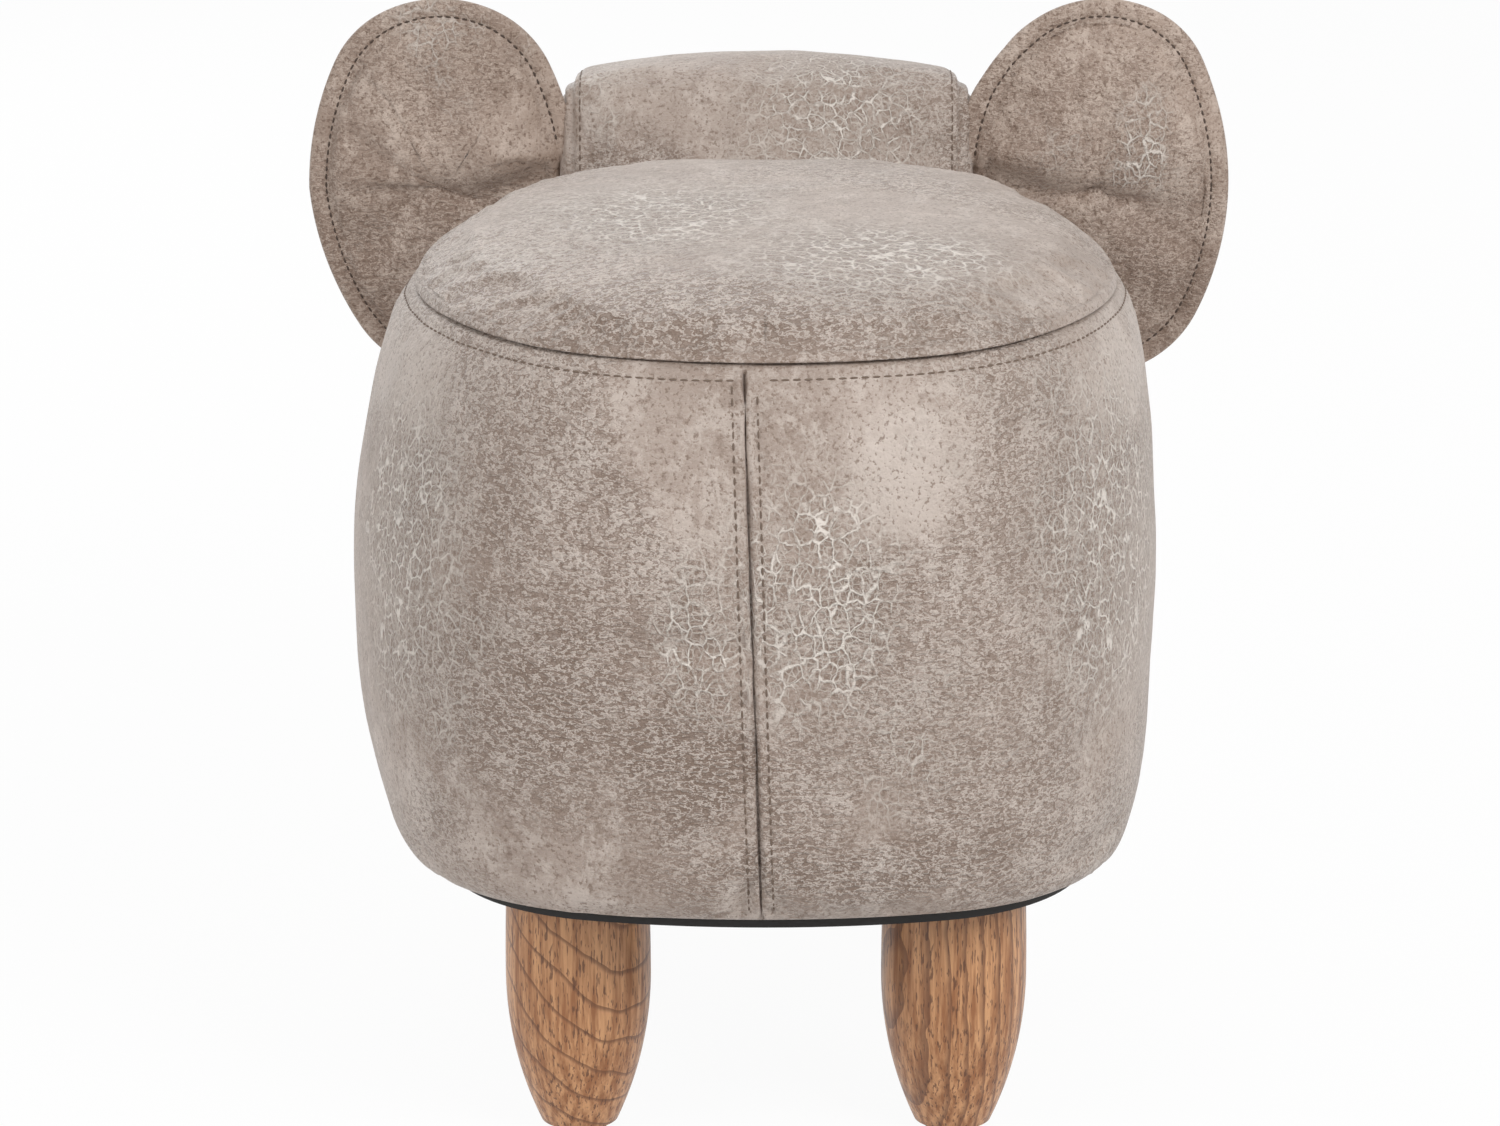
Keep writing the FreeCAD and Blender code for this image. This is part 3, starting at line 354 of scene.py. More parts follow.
plywood = timber("plywood", tone(214, 188, 148), tone(182, 146, 104), (1, 1, 0.1))
softwood = timber("softwood", tone(222, 190, 140), tone(190, 148, 98), (1, 0.1, 1))
for part in ("box_wall_left", "box_wall_right", "box_wall_rear", "box_wall_front", "head_board", "lid_board"):
    coat(nodes[part], plywood)
for part in ("neck_block", "neck_beam"):
    coat(nodes[part], softwood)


# Box lining: dark brown cloth glued to the walls and floor of the storage box.
# It is cut as a cross, so its four walls fold up from the floor.

lining_low, lining_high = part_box("box_lining")
LINING_WALL, FLOOR_SLACK, FLOOR_WAVES, WALL_SLACK, WALL_WAVES = 0.0008, 0.0012, 25, 0.012, 18
LINING_COLUMNS, LINING_FLOOR_ROWS, LINING_ROWS = 160, 14, 44


def lining_place(column, row):
    """Box, open at its top: rows run from the middle of the floor, out to its edge and up the walls."""
    half_x = (lining_high[0] - lining_low[0]) / 2 - LINING_WALL / 4
    half_y = (lining_high[1] - lining_low[1]) / 2 - LINING_WALL / 4
    middle_y = (lining_high[1] + lining_low[1]) / 2
    turn = 2 * math.pi * column / LINING_COLUMNS
    square = max(abs(math.cos(turn)), abs(math.sin(turn)))
    x, y = half_x * math.cos(turn) / square, half_y * math.sin(turn) / square
    if row <= LINING_FLOOR_ROWS:
        share = row / LINING_FLOOR_ROWS
        height = lining_low[2] + LINING_WALL / 2
        slack = max(0, noise.noise(Vector((x * share, y * share, 0)) * FLOOR_WAVES))
        height += FLOOR_SLACK * slack * (1 - share)
        return (x * share, middle_y + y * share, height)
    share = (row - LINING_FLOOR_ROWS) / (LINING_ROWS - LINING_FLOOR_ROWS)
    height = lining_low[2] + LINING_WALL / 2 + share * (lining_high[2] - lining_low[2] - LINING_WALL)
    spot = Vector((x * WALL_WAVES, y * WALL_WAVES, height * WALL_WAVES / 2))
    slack = max(0, noise.noise(spot)) * math.sin(math.pi * share)
    bulge = 1 - WALL_SLACK * slack
    return (x * bulge, middle_y + y * bulge, height)


weft = Finish("lining_cloth")
warp_threads = weft.add("TexWave", {"Vector": weft.place, "Scale": 420, "Distortion": 0.6},
                        bands_direction="Z")
aslant = weft.moved(turn=(0, 0, math.radians(45)))
weft_threads = weft.add("TexWave", {"Vector": aslant, "Scale": 420, "Distortion": 0.6}, bands_direction="X")
threads = weft.times(warp_threads, weft_threads)
lining_cloth = weft.surface(
    Base_Color=weft.mix(weft.ramp(threads, 0.1, 0.8), tone(72, 62, 54), tone(108, 96, 86)),
    Roughness=weft.ramp(threads, 0, 1, 0.95, 0.8), Normal=weft.bump(threads, 0.0002, 0.6))
lining = wrapped("box_cloth", LINING_COLUMNS, LINING_ROWS, lining_place, closed=True)
flip_faces()
coat(lining, lining_cloth)
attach(lining, "body")
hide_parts("box_lining")


# Body cover: two panels of distressed leather over foam, sewn together down the rump and under the neck.
# The panels are stapled under the base board and over the rim of the box, where the lid rests.

def within(finish, patches, start):
    """1 in the patches, which are given by a middle and three radii in metres, and 0 outside them."""
    inside = start
    loose = finish.drift(finish.place, 34, 0.04, 4)
    for centre, radii in patches:
        reach = tuple(1 / radius for radius in radii)
        away = finish.vector("MULTIPLY", finish.vector("SUBTRACT", loose, centre), reach)
        length = finish.add("VectorMath", {0: away}, output="Value", operation="LENGTH")
        inside = finish.math("MAXIMUM", inside, finish.ramp(length, 1.5, 0.4))
    return inside


def distressed_leather(name, light, middle, dark, cracked, stains_and_shade, polished=(), wrinkling=1.0,
                       crack_width=0.09):
    """Taupe leather with worn cream cracks, dark patches and smooth places, each mostly in its patches; the
    dark patches are stains in some places and painted shade in others, the smooth places carry a painted
    highlight, and painted shade and highlight lie along the wrinkles, in the grain's hollows and beside the
    cracks.
    """
    hide = Finish(name)
    worn = hide.ramp(hide.noise(10, 3, 0.6, hide.moved((0.3, 0.7, 0.1))), 0.55, 0.68, 0.0, 0.6)
    worn = within(hide, cracked, worn)
    stain_and_shade = within(hide, stains_and_shade, 0.0)
    speckle = hide.noise(170, 5, 0.72)
    worn = hide.times(worn, hide.ramp(speckle, 0.40, 0.54, 0.15, 1.0))
    mottle = hide.noise(58, 6, 0.74)
    clouds = hide.noise(15, 4, 0.6)
    grain = hide.noise(620, 3, 0.6)
    wrinkles = hide.noise(300, 3, 0.6, hide.moved(scale=(1, 1, 2.0)))
    wrinkled = hide.ramp(hide.noise(9, 2, 0.5, hide.moved((0.2, 0.1, 0.4))), 0.57, 0.45, 0.15, 0.85)
    wrinkled = hide.times(hide.math("MAXIMUM", wrinkled, stain_and_shade), wrinkling)
    if polished:
        smooth_highlight = within(hide, polished, 0.0)
        wrinkled = hide.times(wrinkled, hide.math("SUBTRACT", 1.0, smooth_highlight))
    scuffs = hide.noise(26, 6, 0.8, hide.moved(turn=(0.3, 0.2, 0.5), scale=(1.6, 1, 0.6)))
    shade = hide.mix(hide.ramp(clouds, 0.34, 0.64, 0.6, 1.0), dark, middle)
    # Dark patches: real stains in some places, painted shade in others, such as the ears' lower halves and
    # the pocket beside the neck.
    shade = hide.mix(hide.times(stain_and_shade, 0.55), shade, dark)
    for pattern, none, full, strength, colour in (
            (mottle, 0.49, 0.60, 0.4, light), (scuffs, 0.54, 0.62, 0.42, light),
            (scuffs, 0.44, 0.36, 0.35, dark), (speckle, 0.45, 0.36, 0.5, dark)):
        shade = hide.mix(hide.ramp(pattern, none, full, 0.0, strength), shade, colour)
    if polished:
        # Painted highlight: the smooth places are lightened as glancing light would lighten them.
        shade = hide.mix(hide.times(smooth_highlight, 0.55), shade, light)
    # Painted shade and painted highlight along the wrinkles: a dark line on the lower level of their relief
    # and a light line on the higher one, as light falls on them.
    for level, strength, colour in ((0.44, 0.8, dark), (0.53, 0.7, light)):
        away = hide.math("ABSOLUTE", hide.math("SUBTRACT", wrinkles, level))
        lines = hide.times(hide.ramp(away, 0.055, 0.012, 0.0, strength), wrinkled)
        shade = hide.mix(lines, shade, colour)
    # Dark specks where the fine grain's relief is lowest: partly the leather's own specks, partly painted
    # shade in the grain's hollows.
    shade = hide.mix(hide.ramp(grain, 0.45, 0.35, 0.0, 0.75), shade, dark)
    bent = hide.drift(hide.moved(scale=(1, 1, 0.8)), 170, 0.0045, 3)
    scales = hide.cells(170, bent)
    wide = hide.ramp(scales, 0.02, crack_width, 1.0, 0.0)
    # Painted shade on the edges of the cells beside the raised cream cracks.
    crack_edge_shade = hide.times(hide.ramp(scales, 3.6 * crack_width, 1.2 * crack_width, 0.0, 0.5), worn)
    narrow = hide.ramp(hide.cells(380, bent), 0.02, 0.14, 0.5, 0.0)
    cracks = hide.times(hide.math("MAXIMUM", wide, narrow), worn)
    shade = hide.mix(hide.times(worn, 0.3), shade, dark)
    shade = hide.mix(crack_edge_shade, shade, dark)
    shade = hide.mix(hide.times(cracks, 0.9), shade, tone(232, 223, 214))
    height = hide.math("ADD", hide.times(wrinkles, wrinkled), hide.times(grain, 0.3))
    height = hide.math("ADD", height, hide.times(cracks, 0.2))
    return hide.surface(Base_Color=shade, Roughness=hide.ramp(mottle, 0.3, 0.7, 0.38, 0.55),
                        Normal=hide.bump(height, 0.0028, 0.9), Specular_IOR_Level=0.5,
                        Sheen_Weight=0.12, Sheen_Roughness=0.45)


LIGHT, MIDDLE, DARK = tone(212, 200, 191), tone(175, 159, 148), tone(120, 99, 84)
BODY_CRACKS = (
    ((0.130, -0.205, 0.243), (0.036, 0.080, 0.066)),
    ((0.018, -0.280, 0.238), (0.030, 0.05, 0.046)),
    ((-0.026, -0.280, 0.225), (0.018, 0.05, 0.030)),
    ((-0.133, -0.205, 0.238), (0.026, 0.06, 0.060)),
    ((0.100, -0.020, 0.230), (0.05, 0.05, 0.04)),
    ((-0.120, -0.060, 0.190), (0.05, 0.05, 0.04)),
)
# Dark patches on the body: the first, over the left rump panel, is partly the leather's darker wrinkled tone
# and partly painted shade on the side away from the key lamp; the third darkens a band low across the rump,
# where it curves in under the belly.
BODY_STAINS_AND_SHADE = (
    ((-0.085, -0.260, 0.200), (0.060, 0.080, 0.050)),
    ((-0.030, -0.280, 0.175), (0.030, 0.050, 0.040)),
    ((0.040, -0.280, 0.130), (0.090, 0.050, 0.018)),
    ((0.120, 0.000, 0.180), (0.060, 0.060, 0.050)),
)
# Smooth places with a painted highlight: leather without wrinkles, lightened on both shoulders and high on
# the right rump panel, where light glances off it.
BODY_SMOOTH_AND_HIGHLIGHT = (
    ((-0.134, -0.170, 0.296), (0.030, 0.060, 0.020)),
    ((0.132, -0.170, 0.300), (0.026, 0.060, 0.018)),
    ((0.050, -0.270, 0.282), (0.024, 0.050, 0.024)),
)
body_leather = distressed_leather("body_leather", LIGHT, MIDDLE, DARK, BODY_CRACKS, BODY_STAINS_AND_SHADE, BODY_SMOOTH_AND_HIGHLIGHT)

FOOT_Z, BELLY_Z, RIM_Z, HEM_Z = 0.1080, 0.2058, 0.3208, 0.3219
BELLY_OUT = 0.024
LOWER_ROWS, LOWER_ROUND, UPPER_ROWS, UPPER_ROUND = 34, 3, 40, 1.7
# Rows tucked in under the leather's lower edge, as height over its foot and outset.
TUCKED_ROWS = ((0.004, -0.0011), (0.0012, -0.0010), (0, -0.0002))
HEM_DROP, HEM_OUT = 0.0006, -0.0010
HEM_HALF, HEM_REAR, HEM_FRONT = 0.0865, -0.2065, 0.0205
HINGE_X, HINGE_HALF, HINGE_Y = 0.032, 0.0195, 0.0598


def swell(share, power):
    return max(0.0, 1 - share ** power) ** (1 / power)


def body_rows():
    """(height, outset) of the rows: tucked under the base, up the barrel, and rolled over the rim."""
    rows = [(FOOT_Z + lift, out) for lift, out in TUCKED_ROWS]
    for step in range(1, LOWER_ROWS + 1):
        share = math.cos(math.pi / 2 * step / LOWER_ROWS)
        rows.append((BELLY_Z - share * (BELLY_Z - FOOT_Z), BELLY_OUT * swell(share, LOWER_ROUND)))
    for step in range(1, UPPER_ROWS + 1):
        share = math.sin(math.pi / 2 * step / UPPER_ROWS)
        rows.append((BELLY_Z + share * (HEM_Z - HEM_DROP - BELLY_Z), BELLY_OUT * swell(share, UPPER_ROUND)))
    rows.append((HEM_Z, HEM_OUT))
    return rows


BODY_ROWS = body_rows()
HEM_STEPS, HEM_FOLD = 8, 0.0008
SEAM_FOOT_X, SEAM_LEAN, SEAM_REACH = -0.0015, -0.0065, 0.09
RUMP_START_Y, RUMP_EDGE = WIDEST_Y - 0.09, 0.05
FULL_LOW_Z, FULL_HIGH_Z, FULL_EDGE, FULL_REACH = 0.17, 0.24, 0.08, 0.08
FULL_SHIFT = {-1: 0.0055, 1: 0.0035}
HINGE_REAR, HINGE_EDGE, HINGE_SINK, SINK_TOP_Z, SINK_EDGE = 0.0095, 0.002, 0.0062, 0.320, 0.008
FAR = 9


def rise(height):
    """Share of the way from the foot of the body (0) to its hem (1)."""
    return min(1, max(0, (height - FOOT_Z) / (HEM_Z - FOOT_Z)))


def seam_x(height):
    """Sideways wander of the seam down the rump, which isn't quite straight on a hand-pulled cover."""
    share = (height - FOOT_Z) / (RIM_Z - FOOT_Z)
    return SEAM_FOOT_X + SEAM_LEAN * min(1, max(0, share))


def window(number, low, high, edge):
    """1 between low and high, falling to 0 over an edge on each side."""
    inside = min(number - low, high - number)
    return min(1, max(0, inside / edge + 1))


def body_place(sign):
    outlines = [half_plan(rise(height), out) for height, out in BODY_ROWS]
    middle_y = (HEM_REAR + HEM_FRONT) / 2

    def place(column, row):
        last = len(BODY_ROWS) - 1
        x, y = outlines[min(row, last)][column]
        height = BODY_ROWS[min(row, last)][0]
        if row > last:
            steps = row - last
            reach = max(abs(x) / HEM_HALF, (y - middle_y) / (HEM_FRONT - middle_y) if y > middle_y
                        else (middle_y - y) / (middle_y - HEM_REAR))
            share = min(1, steps / HEM_STEPS)
            x, y = x + share * (x / reach - x), y + share * (middle_y + (y - middle_y) / reach - y)
            height = HEM_Z if steps <= HEM_STEPS else HEM_Z - HEM_FOLD
        rump = window(y, -FAR, RUMP_START_Y, RUMP_EDGE)
        fullness = window(height, FULL_LOW_Z, FULL_HIGH_Z, FULL_EDGE) if row <= last else 0
        x = sign * x + rump * seam_x(height) * max(0, 1 - abs(x) / SEAM_REACH)
        x -= FULL_SHIFT[sign] * fullness * min(1, abs(x) / FULL_REACH)
        for middle in (-HINGE_X, HINGE_X):
            beside = window(x, middle - HINGE_HALF, middle + HINGE_HALF, HINGE_EDGE)
            ahead = window(y, HINGE_Y - HINGE_REAR, FAR, HINGE_EDGE)
            height -= HINGE_SINK * beside * ahead * window(height, SINK_TOP_Z, FAR, SINK_EDGE)
        return (x, y, height)

    return place


def push(piece, amount):
    """Move each point along its own normal by an amount that its place gives."""
    piece.data.update()
    moves = [vertex.normal * amount(vertex.co) for vertex in piece.data.vertices]
    for vertex, move in zip(piece.data.vertices, moves):
        vertex.co += move


def bell(away, width):
    """1 where away is 0, falling off to both sides."""
    return math.exp(-(away / width) ** 2)


SLACK, RIPPLE = 0.0011, 0.0004
FLAT_RIM, FLAT_FOOT = 0.002, 0.001
SEAM_DEEP, SEAM_WIDE = 0.0030, 0.0007
STITCH_OFF, STITCH_PITCH = 0.0046, 0.0042
PUCKER_DEEP, PUCKER_WIDE, PUCKER_PITCH, PUCKER_WANDER = 0.0007, 0.0022, 0.0086, 3
LIP_HIGH, LIP_OFF, LIP_WIDE = 0.0005, 0.0018, 0.0011
GATHER_DEEP, GATHER_HIGH, GATHERS = 0.0011, 0.012, 70
RIM_DEEP, RIM_STITCH = 0.0006, 0.005


def slackness(point, slack, waves, ripples):
    """Slow and fine slack of leather over its foam, in metres; waves and ripples are counted per metre."""
    return slack * noise.noise(point * waves) + RIPPLE * noise.noise(point * ripples)


def body_hollows(point):
    """Seam valley, puckers and slack of the leather over its foam, in metres along the normal."""
    if point.z > HEM_Z - FLAT_RIM or point.z < FOOT_Z + FLAT_FOOT:
        return 0.0
    move = slackness(point, SLACK, waves=15, ripples=55)
    if point.y < WIDEST_Y:
        away = abs(point.x - seam_x(point.z))
        wander = PUCKER_WANDER * noise.noise(point * 30)
        pucker = 0.5 + 0.5 * math.sin(point.z * 2 * math.pi / PUCKER_PITCH + wander)
        move -= SEAM_DEEP * bell(away, SEAM_WIDE)
        move -= PUCKER_DEEP * pucker * bell(away - STITCH_OFF, PUCKER_WIDE)
        move += LIP_HIGH * bell(away - LIP_OFF, LIP_WIDE)
    gather = max(0, noise.noise(Vector((point.x * GATHERS, point.y * GATHERS, 0))))
    move -= GATHER_DEEP * gather * bell(point.z - FOOT_Z, GATHER_HIGH)
    move -= RIM_DEEP * bell(HEM_Z - point.z - RIM_STITCH, PUCKER_WIDE)
    return move


LAST_FRAME, SHRINK, TINY = 14, 0.7, 0.000001


def stuffed(piece, held, cap, slack=0.02, pressure=4.0):
    """Blow a cover up by a short cloth simulation, with the points that held names kept in place.

    Slack is the share by which the leather is larger than its form; no point moves further than the cap.
    """
    push(piece, lambda point: 0 if held(point) else -SHRINK * cap)
    rest = [vertex.co.copy() for vertex in piece.data.vertices]
    pins = piece.vertex_groups.new(name="held")
    pins.add([number for number, point in enumerate(rest) if held(point)], 1.0, "REPLACE")
    cloth = piece.modifiers.new("stuffing", "CLOTH")
    settings = cloth.settings
    settings.quality = 4
    settings.bending_stiffness = 2.0
    settings.vertex_group_mass = pins.name
    settings.use_pressure = True
    settings.uniform_pressure_force = pressure
    settings.shrink_min = -slack
    settings.effector_weights.gravity = 0
    cloth.collision_settings.use_collision = False
    cloth.point_cache.frame_start = 1
    cloth.point_cache.frame_end = LAST_FRAME
    scene = bpy.context.scene
    for frame_number in range(1, LAST_FRAME + 1):
        scene.frame_set(frame_number)
    blown = piece.evaluated_get(bpy.context.evaluated_depsgraph_get())
    ends = [vertex.co.copy() for vertex in blown.data.vertices]
    piece.modifiers.remove(cloth)
    piece.vertex_groups.remove(pins)
    scene.frame_set(1)
    for vertex, start, end in zip(piece.data.vertices, rest, ends):
        move = end - start
        vertex.co = start + move * min(1, cap / max(move.length, TINY))


def finer(piece):
    """One level of subdivision, applied."""
    smooth = piece.modifiers.new("smooth", "SUBSURF")
    smooth.levels = 1
    smooth.render_levels = 1
    apply(piece, smooth)


SEWN, STAPLED_FOOT, STAPLED_RIM = 0.001, 0.003, 0.012
LEATHER_WALL, BODY_CAP = 0.001, 0.0015


def body_held(point):
    """The panels are sewn at the rump and under the neck, and stapled at the base and at the rim."""
    sewn = abs(point.x - (seam_x(point.z) if point.y < WIDEST_Y else 0)) < SEWN
    return sewn or point.z < FOOT_Z + STAPLED_FOOT or point.z > HEM_Z - STAPLED_RIM


SIDES = (("left", -1), ("right", 1))
panels = {}
for side_name, sign, under in (("left", -1, ("body_cover_left", "pad_left", "pad_rear")),
                               ("right", 1, ("body_cover_right", "pad_right", "pad_front"))):
    panel = wrapped("body_" + side_name, COLUMNS, len(BODY_ROWS) + HEM_STEPS, body_place(sign))
    outward = sum(face.normal.x * sign for face in panel.data.polygons)
    if outward < 0:
        flip_faces()
    stuffed(panel, body_held, BODY_CAP)
    push(panel, body_hollows)
    thicken(panel, LEATHER_WALL)
    coat(panel, body_leather)
    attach(panel, "body")
    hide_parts(*under)
    panels[side_name] = panel


# Topstitching: taupe thread in even stitches, two rows beside the seam of the rump and one row below the lid.
# The thread lies in the leather and pulls it in a little at each hole.

def sewing_thread(name, dark, light):
    yarn = Finish(name)
    twist = yarn.add("TexWave", {"Vector": yarn.moved(turn=(0.6, 0.3, 0.4)), "Scale": 900})
    return yarn.surface(Base_Color=yarn.mix(yarn.ramp(twist, 0.2, 0.8), dark, light),
                        Roughness=yarn.ramp(twist, 0, 1, 0.7, 0.55), Normal=yarn.bump(twist, 0.0001, 0.5))


thread = sewing_thread("thread", tone(92, 76, 64), tone(122, 104, 90))
THREAD = 0.00042
# A stitch in thicknesses of its thread: height of its round, lift over the leather and sink of its ends.
STITCH_ROUND, STITCH_LIFT, STITCH_SINK = 0.8, 0.25, 0.9
STITCH_HALF = 0.40


def stitches(name, rows, pitch, material, thick):
    """Rows of stitches as one piece; each row is a list of (point, outward normal) along its line."""
    bpy.ops.object.select_all(action="DESELECT")
    bpy.ops.mesh.primitive_uv_sphere_add(segments=8, ring_count=6, radius=1)
    pattern = bpy.context.object
    shape = [vertex.co.copy() for vertex in pattern.data.vertices]
    faces = [tuple(face.vertices) for face in pattern.data.polygons]
    bpy.data.objects.remove(pattern)
    points, polygons = [], []
    for row in rows:
        spare = pitch / 2
        for (start, normal), (end, _) in zip(row, row[1:]):
            run = end - start
            while spare < run.length:
                middle = start + run.normalized() * spare
                along = run.normalized()
                across = normal.cross(along).normalized()
                first = len(points)
                for corner in shape:
                    lift = corner.y * STITCH_ROUND + STITCH_LIFT - STITCH_SINK * corner.z ** 4
                    points.append(middle + along * corner.z * pitch * STITCH_HALF
                                  + (across * corner.x + normal * lift) * thick)
                polygons += [tuple(first + number for number in face) for face in faces]
                spare += pitch
            spare -= run.length
    mesh = bpy.data.meshes.new(name)
    mesh.from_pydata(points, [], polygons)
    piece = bpy.data.objects.new(name, mesh)
    bpy.context.scene.collection.objects.link(piece)
    bpy.context.view_layer.objects.active = piece
    piece.select_set(True)
    faces_outward()
    coat(piece, material)
    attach(piece, "body")


def on_surface(piece, start, direction):
    """Point and normal where a ray meets a piece, or None."""
    hit, point, normal, _ = piece.ray_cast(Vector(start), Vector(direction).normalized())
    if not hit:
        return None
    return (point, normal if normal.dot(Vector(direction)) < 0 else -normal)


bpy.context.view_layer.update()
RUMP_ROW_LOW, RUMP_ROW_HIGH, ROW_STEP, BEHIND_Y = FOOT_Z + 0.005, HEM_Z - 0.007, 0.003, -0.5
rump_rows = []
for side_name, sign in SIDES:
    row = []
    height = RUMP_ROW_LOW
    while height < RUMP_ROW_HIGH:
        behind = (seam_x(height) + sign * STITCH_OFF, BEHIND_Y, height)
        found = on_surface(panels[side_name], behind, (0, 1, 0))
        if found:
            row.append(found)
        height += ROW_STEP
    rump_rows.append(row)
stitches("rump_stitches", rump_rows, STITCH_PITCH, thread, THREAD)

OUTSIDE, RIM_ROW_DROP, NECK_GAP_Y, NECK_GAP_HALF = 0.05, 0.0052, 0.03, 0.062
SHOULDER_HALF, SHOULDER_SLANT, SHOULDER_AIM = 0.1, 0.4, -0.1
rim_rows = []
for side_name, sign in SIDES:
    row = []
    for x, y in half_plan(1, OUTSIDE):
        inward = Vector((-sign * x, WIDEST_Y - y, 0)) if y < WIDEST_Y else Vector((-sign * x, 0, 0))
        if y > WIDEST_Y and abs(x) < SHOULDER_HALF:
            inward = Vector((-sign * x * SHOULDER_SLANT, SHOULDER_AIM, 0))
        found = on_surface(panels[side_name], (sign * x, y, HEM_Z - RIM_ROW_DROP), inward)
        if found and not (found[0].y > NECK_GAP_Y and abs(found[0].x) < NECK_GAP_HALF):
            row.append(found)
    rim_rows.append(row)
stitches("rim_stitches", rim_rows, STITCH_PITCH, thread, THREAD)


# Head: stuffed leather on a board behind the neck, sewn from a wide centre panel and two side panels.
# The slim neck runs out of the body under the hinges and swells into the skull, rounded off at the brow.

HEAD_CRACKS = (
    ((0.030, 0.105, 0.345), (0.040, 0.06, 0.035)),
    ((-0.06, 0.17, 0.29), (0.05, 0.05, 0.05)),
    ((0.07, 0.19, 0.25), (0.05, 0.05, 0.05)),
)
# Dark patches on the head: the first is painted shade in the left pocket beside the neck, under the head's
# overhang; the second darkens the head low under the brow.
HEAD_STAIN_AND_SHADE = (
    ((-0.06, 0.100, 0.310), (0.03, 0.04, 0.03)),
    ((0.00, 0.200, 0.230), (0.06, 0.05, 0.03)),
)
head_leather = distressed_leather("head_leather", LIGHT, MIDDLE, DARK, HEAD_CRACKS, HEAD_STAIN_AND_SHADE)


CORNER_LOW = 25


def oval(half_width, half_height, roundness, turn, low=CORNER_LOW):
    """Point of an oval of tangent arcs whose outward direction is the given angle, in degrees.

    Roundness is the corner radius as a share of the shorter half; the corners begin at the low angle.
    """
    radius = roundness * min(half_width, half_height)
    flat, steep = 1 - math.cos(math.radians(low)), math.sin(math.radians(low))
    wide, tall = half_width - radius, half_height - radius
    side = radius + (steep * tall - flat * wide) / (steep ** 2 - flat ** 2)
    cap = radius + (steep * wide - flat * tall) / (steep ** 2 - flat ** 2)
    corner = (half_width - side + (side - radius) * (1 - flat), (side - radius) * steep)
    across, up = math.cos(math.radians(turn)), math.sin(math.radians(turn))
    sharp = math.degrees(math.asin(min(1, abs(up))))
    if sharp <= low:
        centre, span = (half_width - side, 0), side
    elif sharp <= 90 - low:
        centre, span = corner, radius
    else:
        centre, span = (0, half_height - cap), cap
    x = centre[0] + span * abs(across)
    z = centre[1] + span * abs(up)
    return (math.copysign(x, across), math.copysign(z, up))


NECK_Y, NECK_END_Y, FULL_Y, BROW_Y = 0.031, 0.0638, 0.1258, 0.2258
NECK_HALF, NECK_RISE, NECK_MIDDLE = 0.050, 0.050, 0.2668
HEAD_HALF, HEAD_RISE, HEAD_MIDDLE, BROW_DROP = 0.0935, 0.078, 0.287, 0.016
HEAD_SEAM = 0.0845
NECK_ROUND, HEAD_ROUND, BROW_ROUND = 0.75, 0.21, 0.51
HEAD_LOW, BROW_LOW = 8, 20
NECK_SECTIONS, SWELL_SECTIONS, BROW_SECTIONS, BROW_CROWDING = 8, 40, 36, 1.5


def head_sections():
    """(place along Y, half width, half height, middle height, roundness, low angle) of the sections."""
    neck = (NECK_HALF, NECK_RISE, NECK_MIDDLE, NECK_ROUND, CORNER_LOW)
    skull = (HEAD_HALF, HEAD_RISE, HEAD_MIDDLE, HEAD_ROUND, HEAD_LOW)
    pole = 0.0004
    sections = [(NECK_Y, pole, pole, *neck[2:])]
    for step in range(NECK_SECTIONS):
        sections.append((NECK_Y + (NECK_END_Y - NECK_Y) * step / NECK_SECTIONS, *neck))
    for step in range(SWELL_SECTIONS + 1):
        share = step / SWELL_SECTIONS
        blend = share * share * (3 - 2 * share)
        swollen = [low + blend * (high - low) for low, high in zip(neck, skull)]
        sections.append((NECK_END_Y + share * (FULL_Y - NECK_END_Y), *swollen))
    for step in range(1, BROW_SECTIONS + 1):
        angle = math.pi / 2 * (step / BROW_SECTIONS) ** BROW_CROWDING
        share, full = math.sqrt(math.sin(angle)), math.sqrt(max(MERGE, math.cos(angle)))
        sections.append((FULL_Y + share * (BROW_Y - FULL_Y), HEAD_HALF * full, HEAD_RISE * full,
                         HEAD_MIDDLE - BROW_DROP * share ** 2,
                         HEAD_ROUND + (BROW_ROUND - HEAD_ROUND) * share ** 2,
                         HEAD_LOW + (BROW_LOW - HEAD_LOW) * share ** 2))
    return sections


HEAD_SECTIONS = head_sections()
SIDE_END, CORNER_END, QUARTER = 9, 25, 36


def head_turn(column, low):
    """Outward direction at a column: each quarter has its side, its corner and its cap."""
    quarter, step = divmod(column, QUARTER)
    if quarter % 2:
        step = QUARTER - step
    if step <= SIDE_END:
        turn = low * step / SIDE_END
    elif step <= CORNER_END:
        turn = low + (90 - 2 * low) * (step - SIDE_END) / (CORNER_END - SIDE_END)
    else:
        turn = 90 - low + low * (step - CORNER_END) / (QUARTER - CORNER_END)
    return (turn, 180 - turn, 180 + turn, 360 - turn)[quarter % 4]


def head_place(column, row):
    y, half_width, half_height, middle, roundness, low = HEAD_SECTIONS[row]
    x, z = oval(half_width, half_height, roundness, head_turn(column, low), low)
    return (x, y, middle + z)


HEAD_SEAM_DEEP, HEAD_SEAM_WIDE, HEAD_SEAM_START_Y = 0.0016, 0.0017, 0.09
HEAD_LIP_OFF, HEAD_LIP_WIDE, HEAD_SLACK = 0.004, 0.002, 0.0012
NECK_FOLD_DEEP, NECK_FOLD_Y, NECK_FOLD_WIDE, NECK_FOLDS, FOLDS_WANDER = 0.0018, 0.083, 0.02, 150, 4
HEAD_CAP, NECK_HELD_Y, HEAD_SEWN = 0.0016, 0.07, 0.003


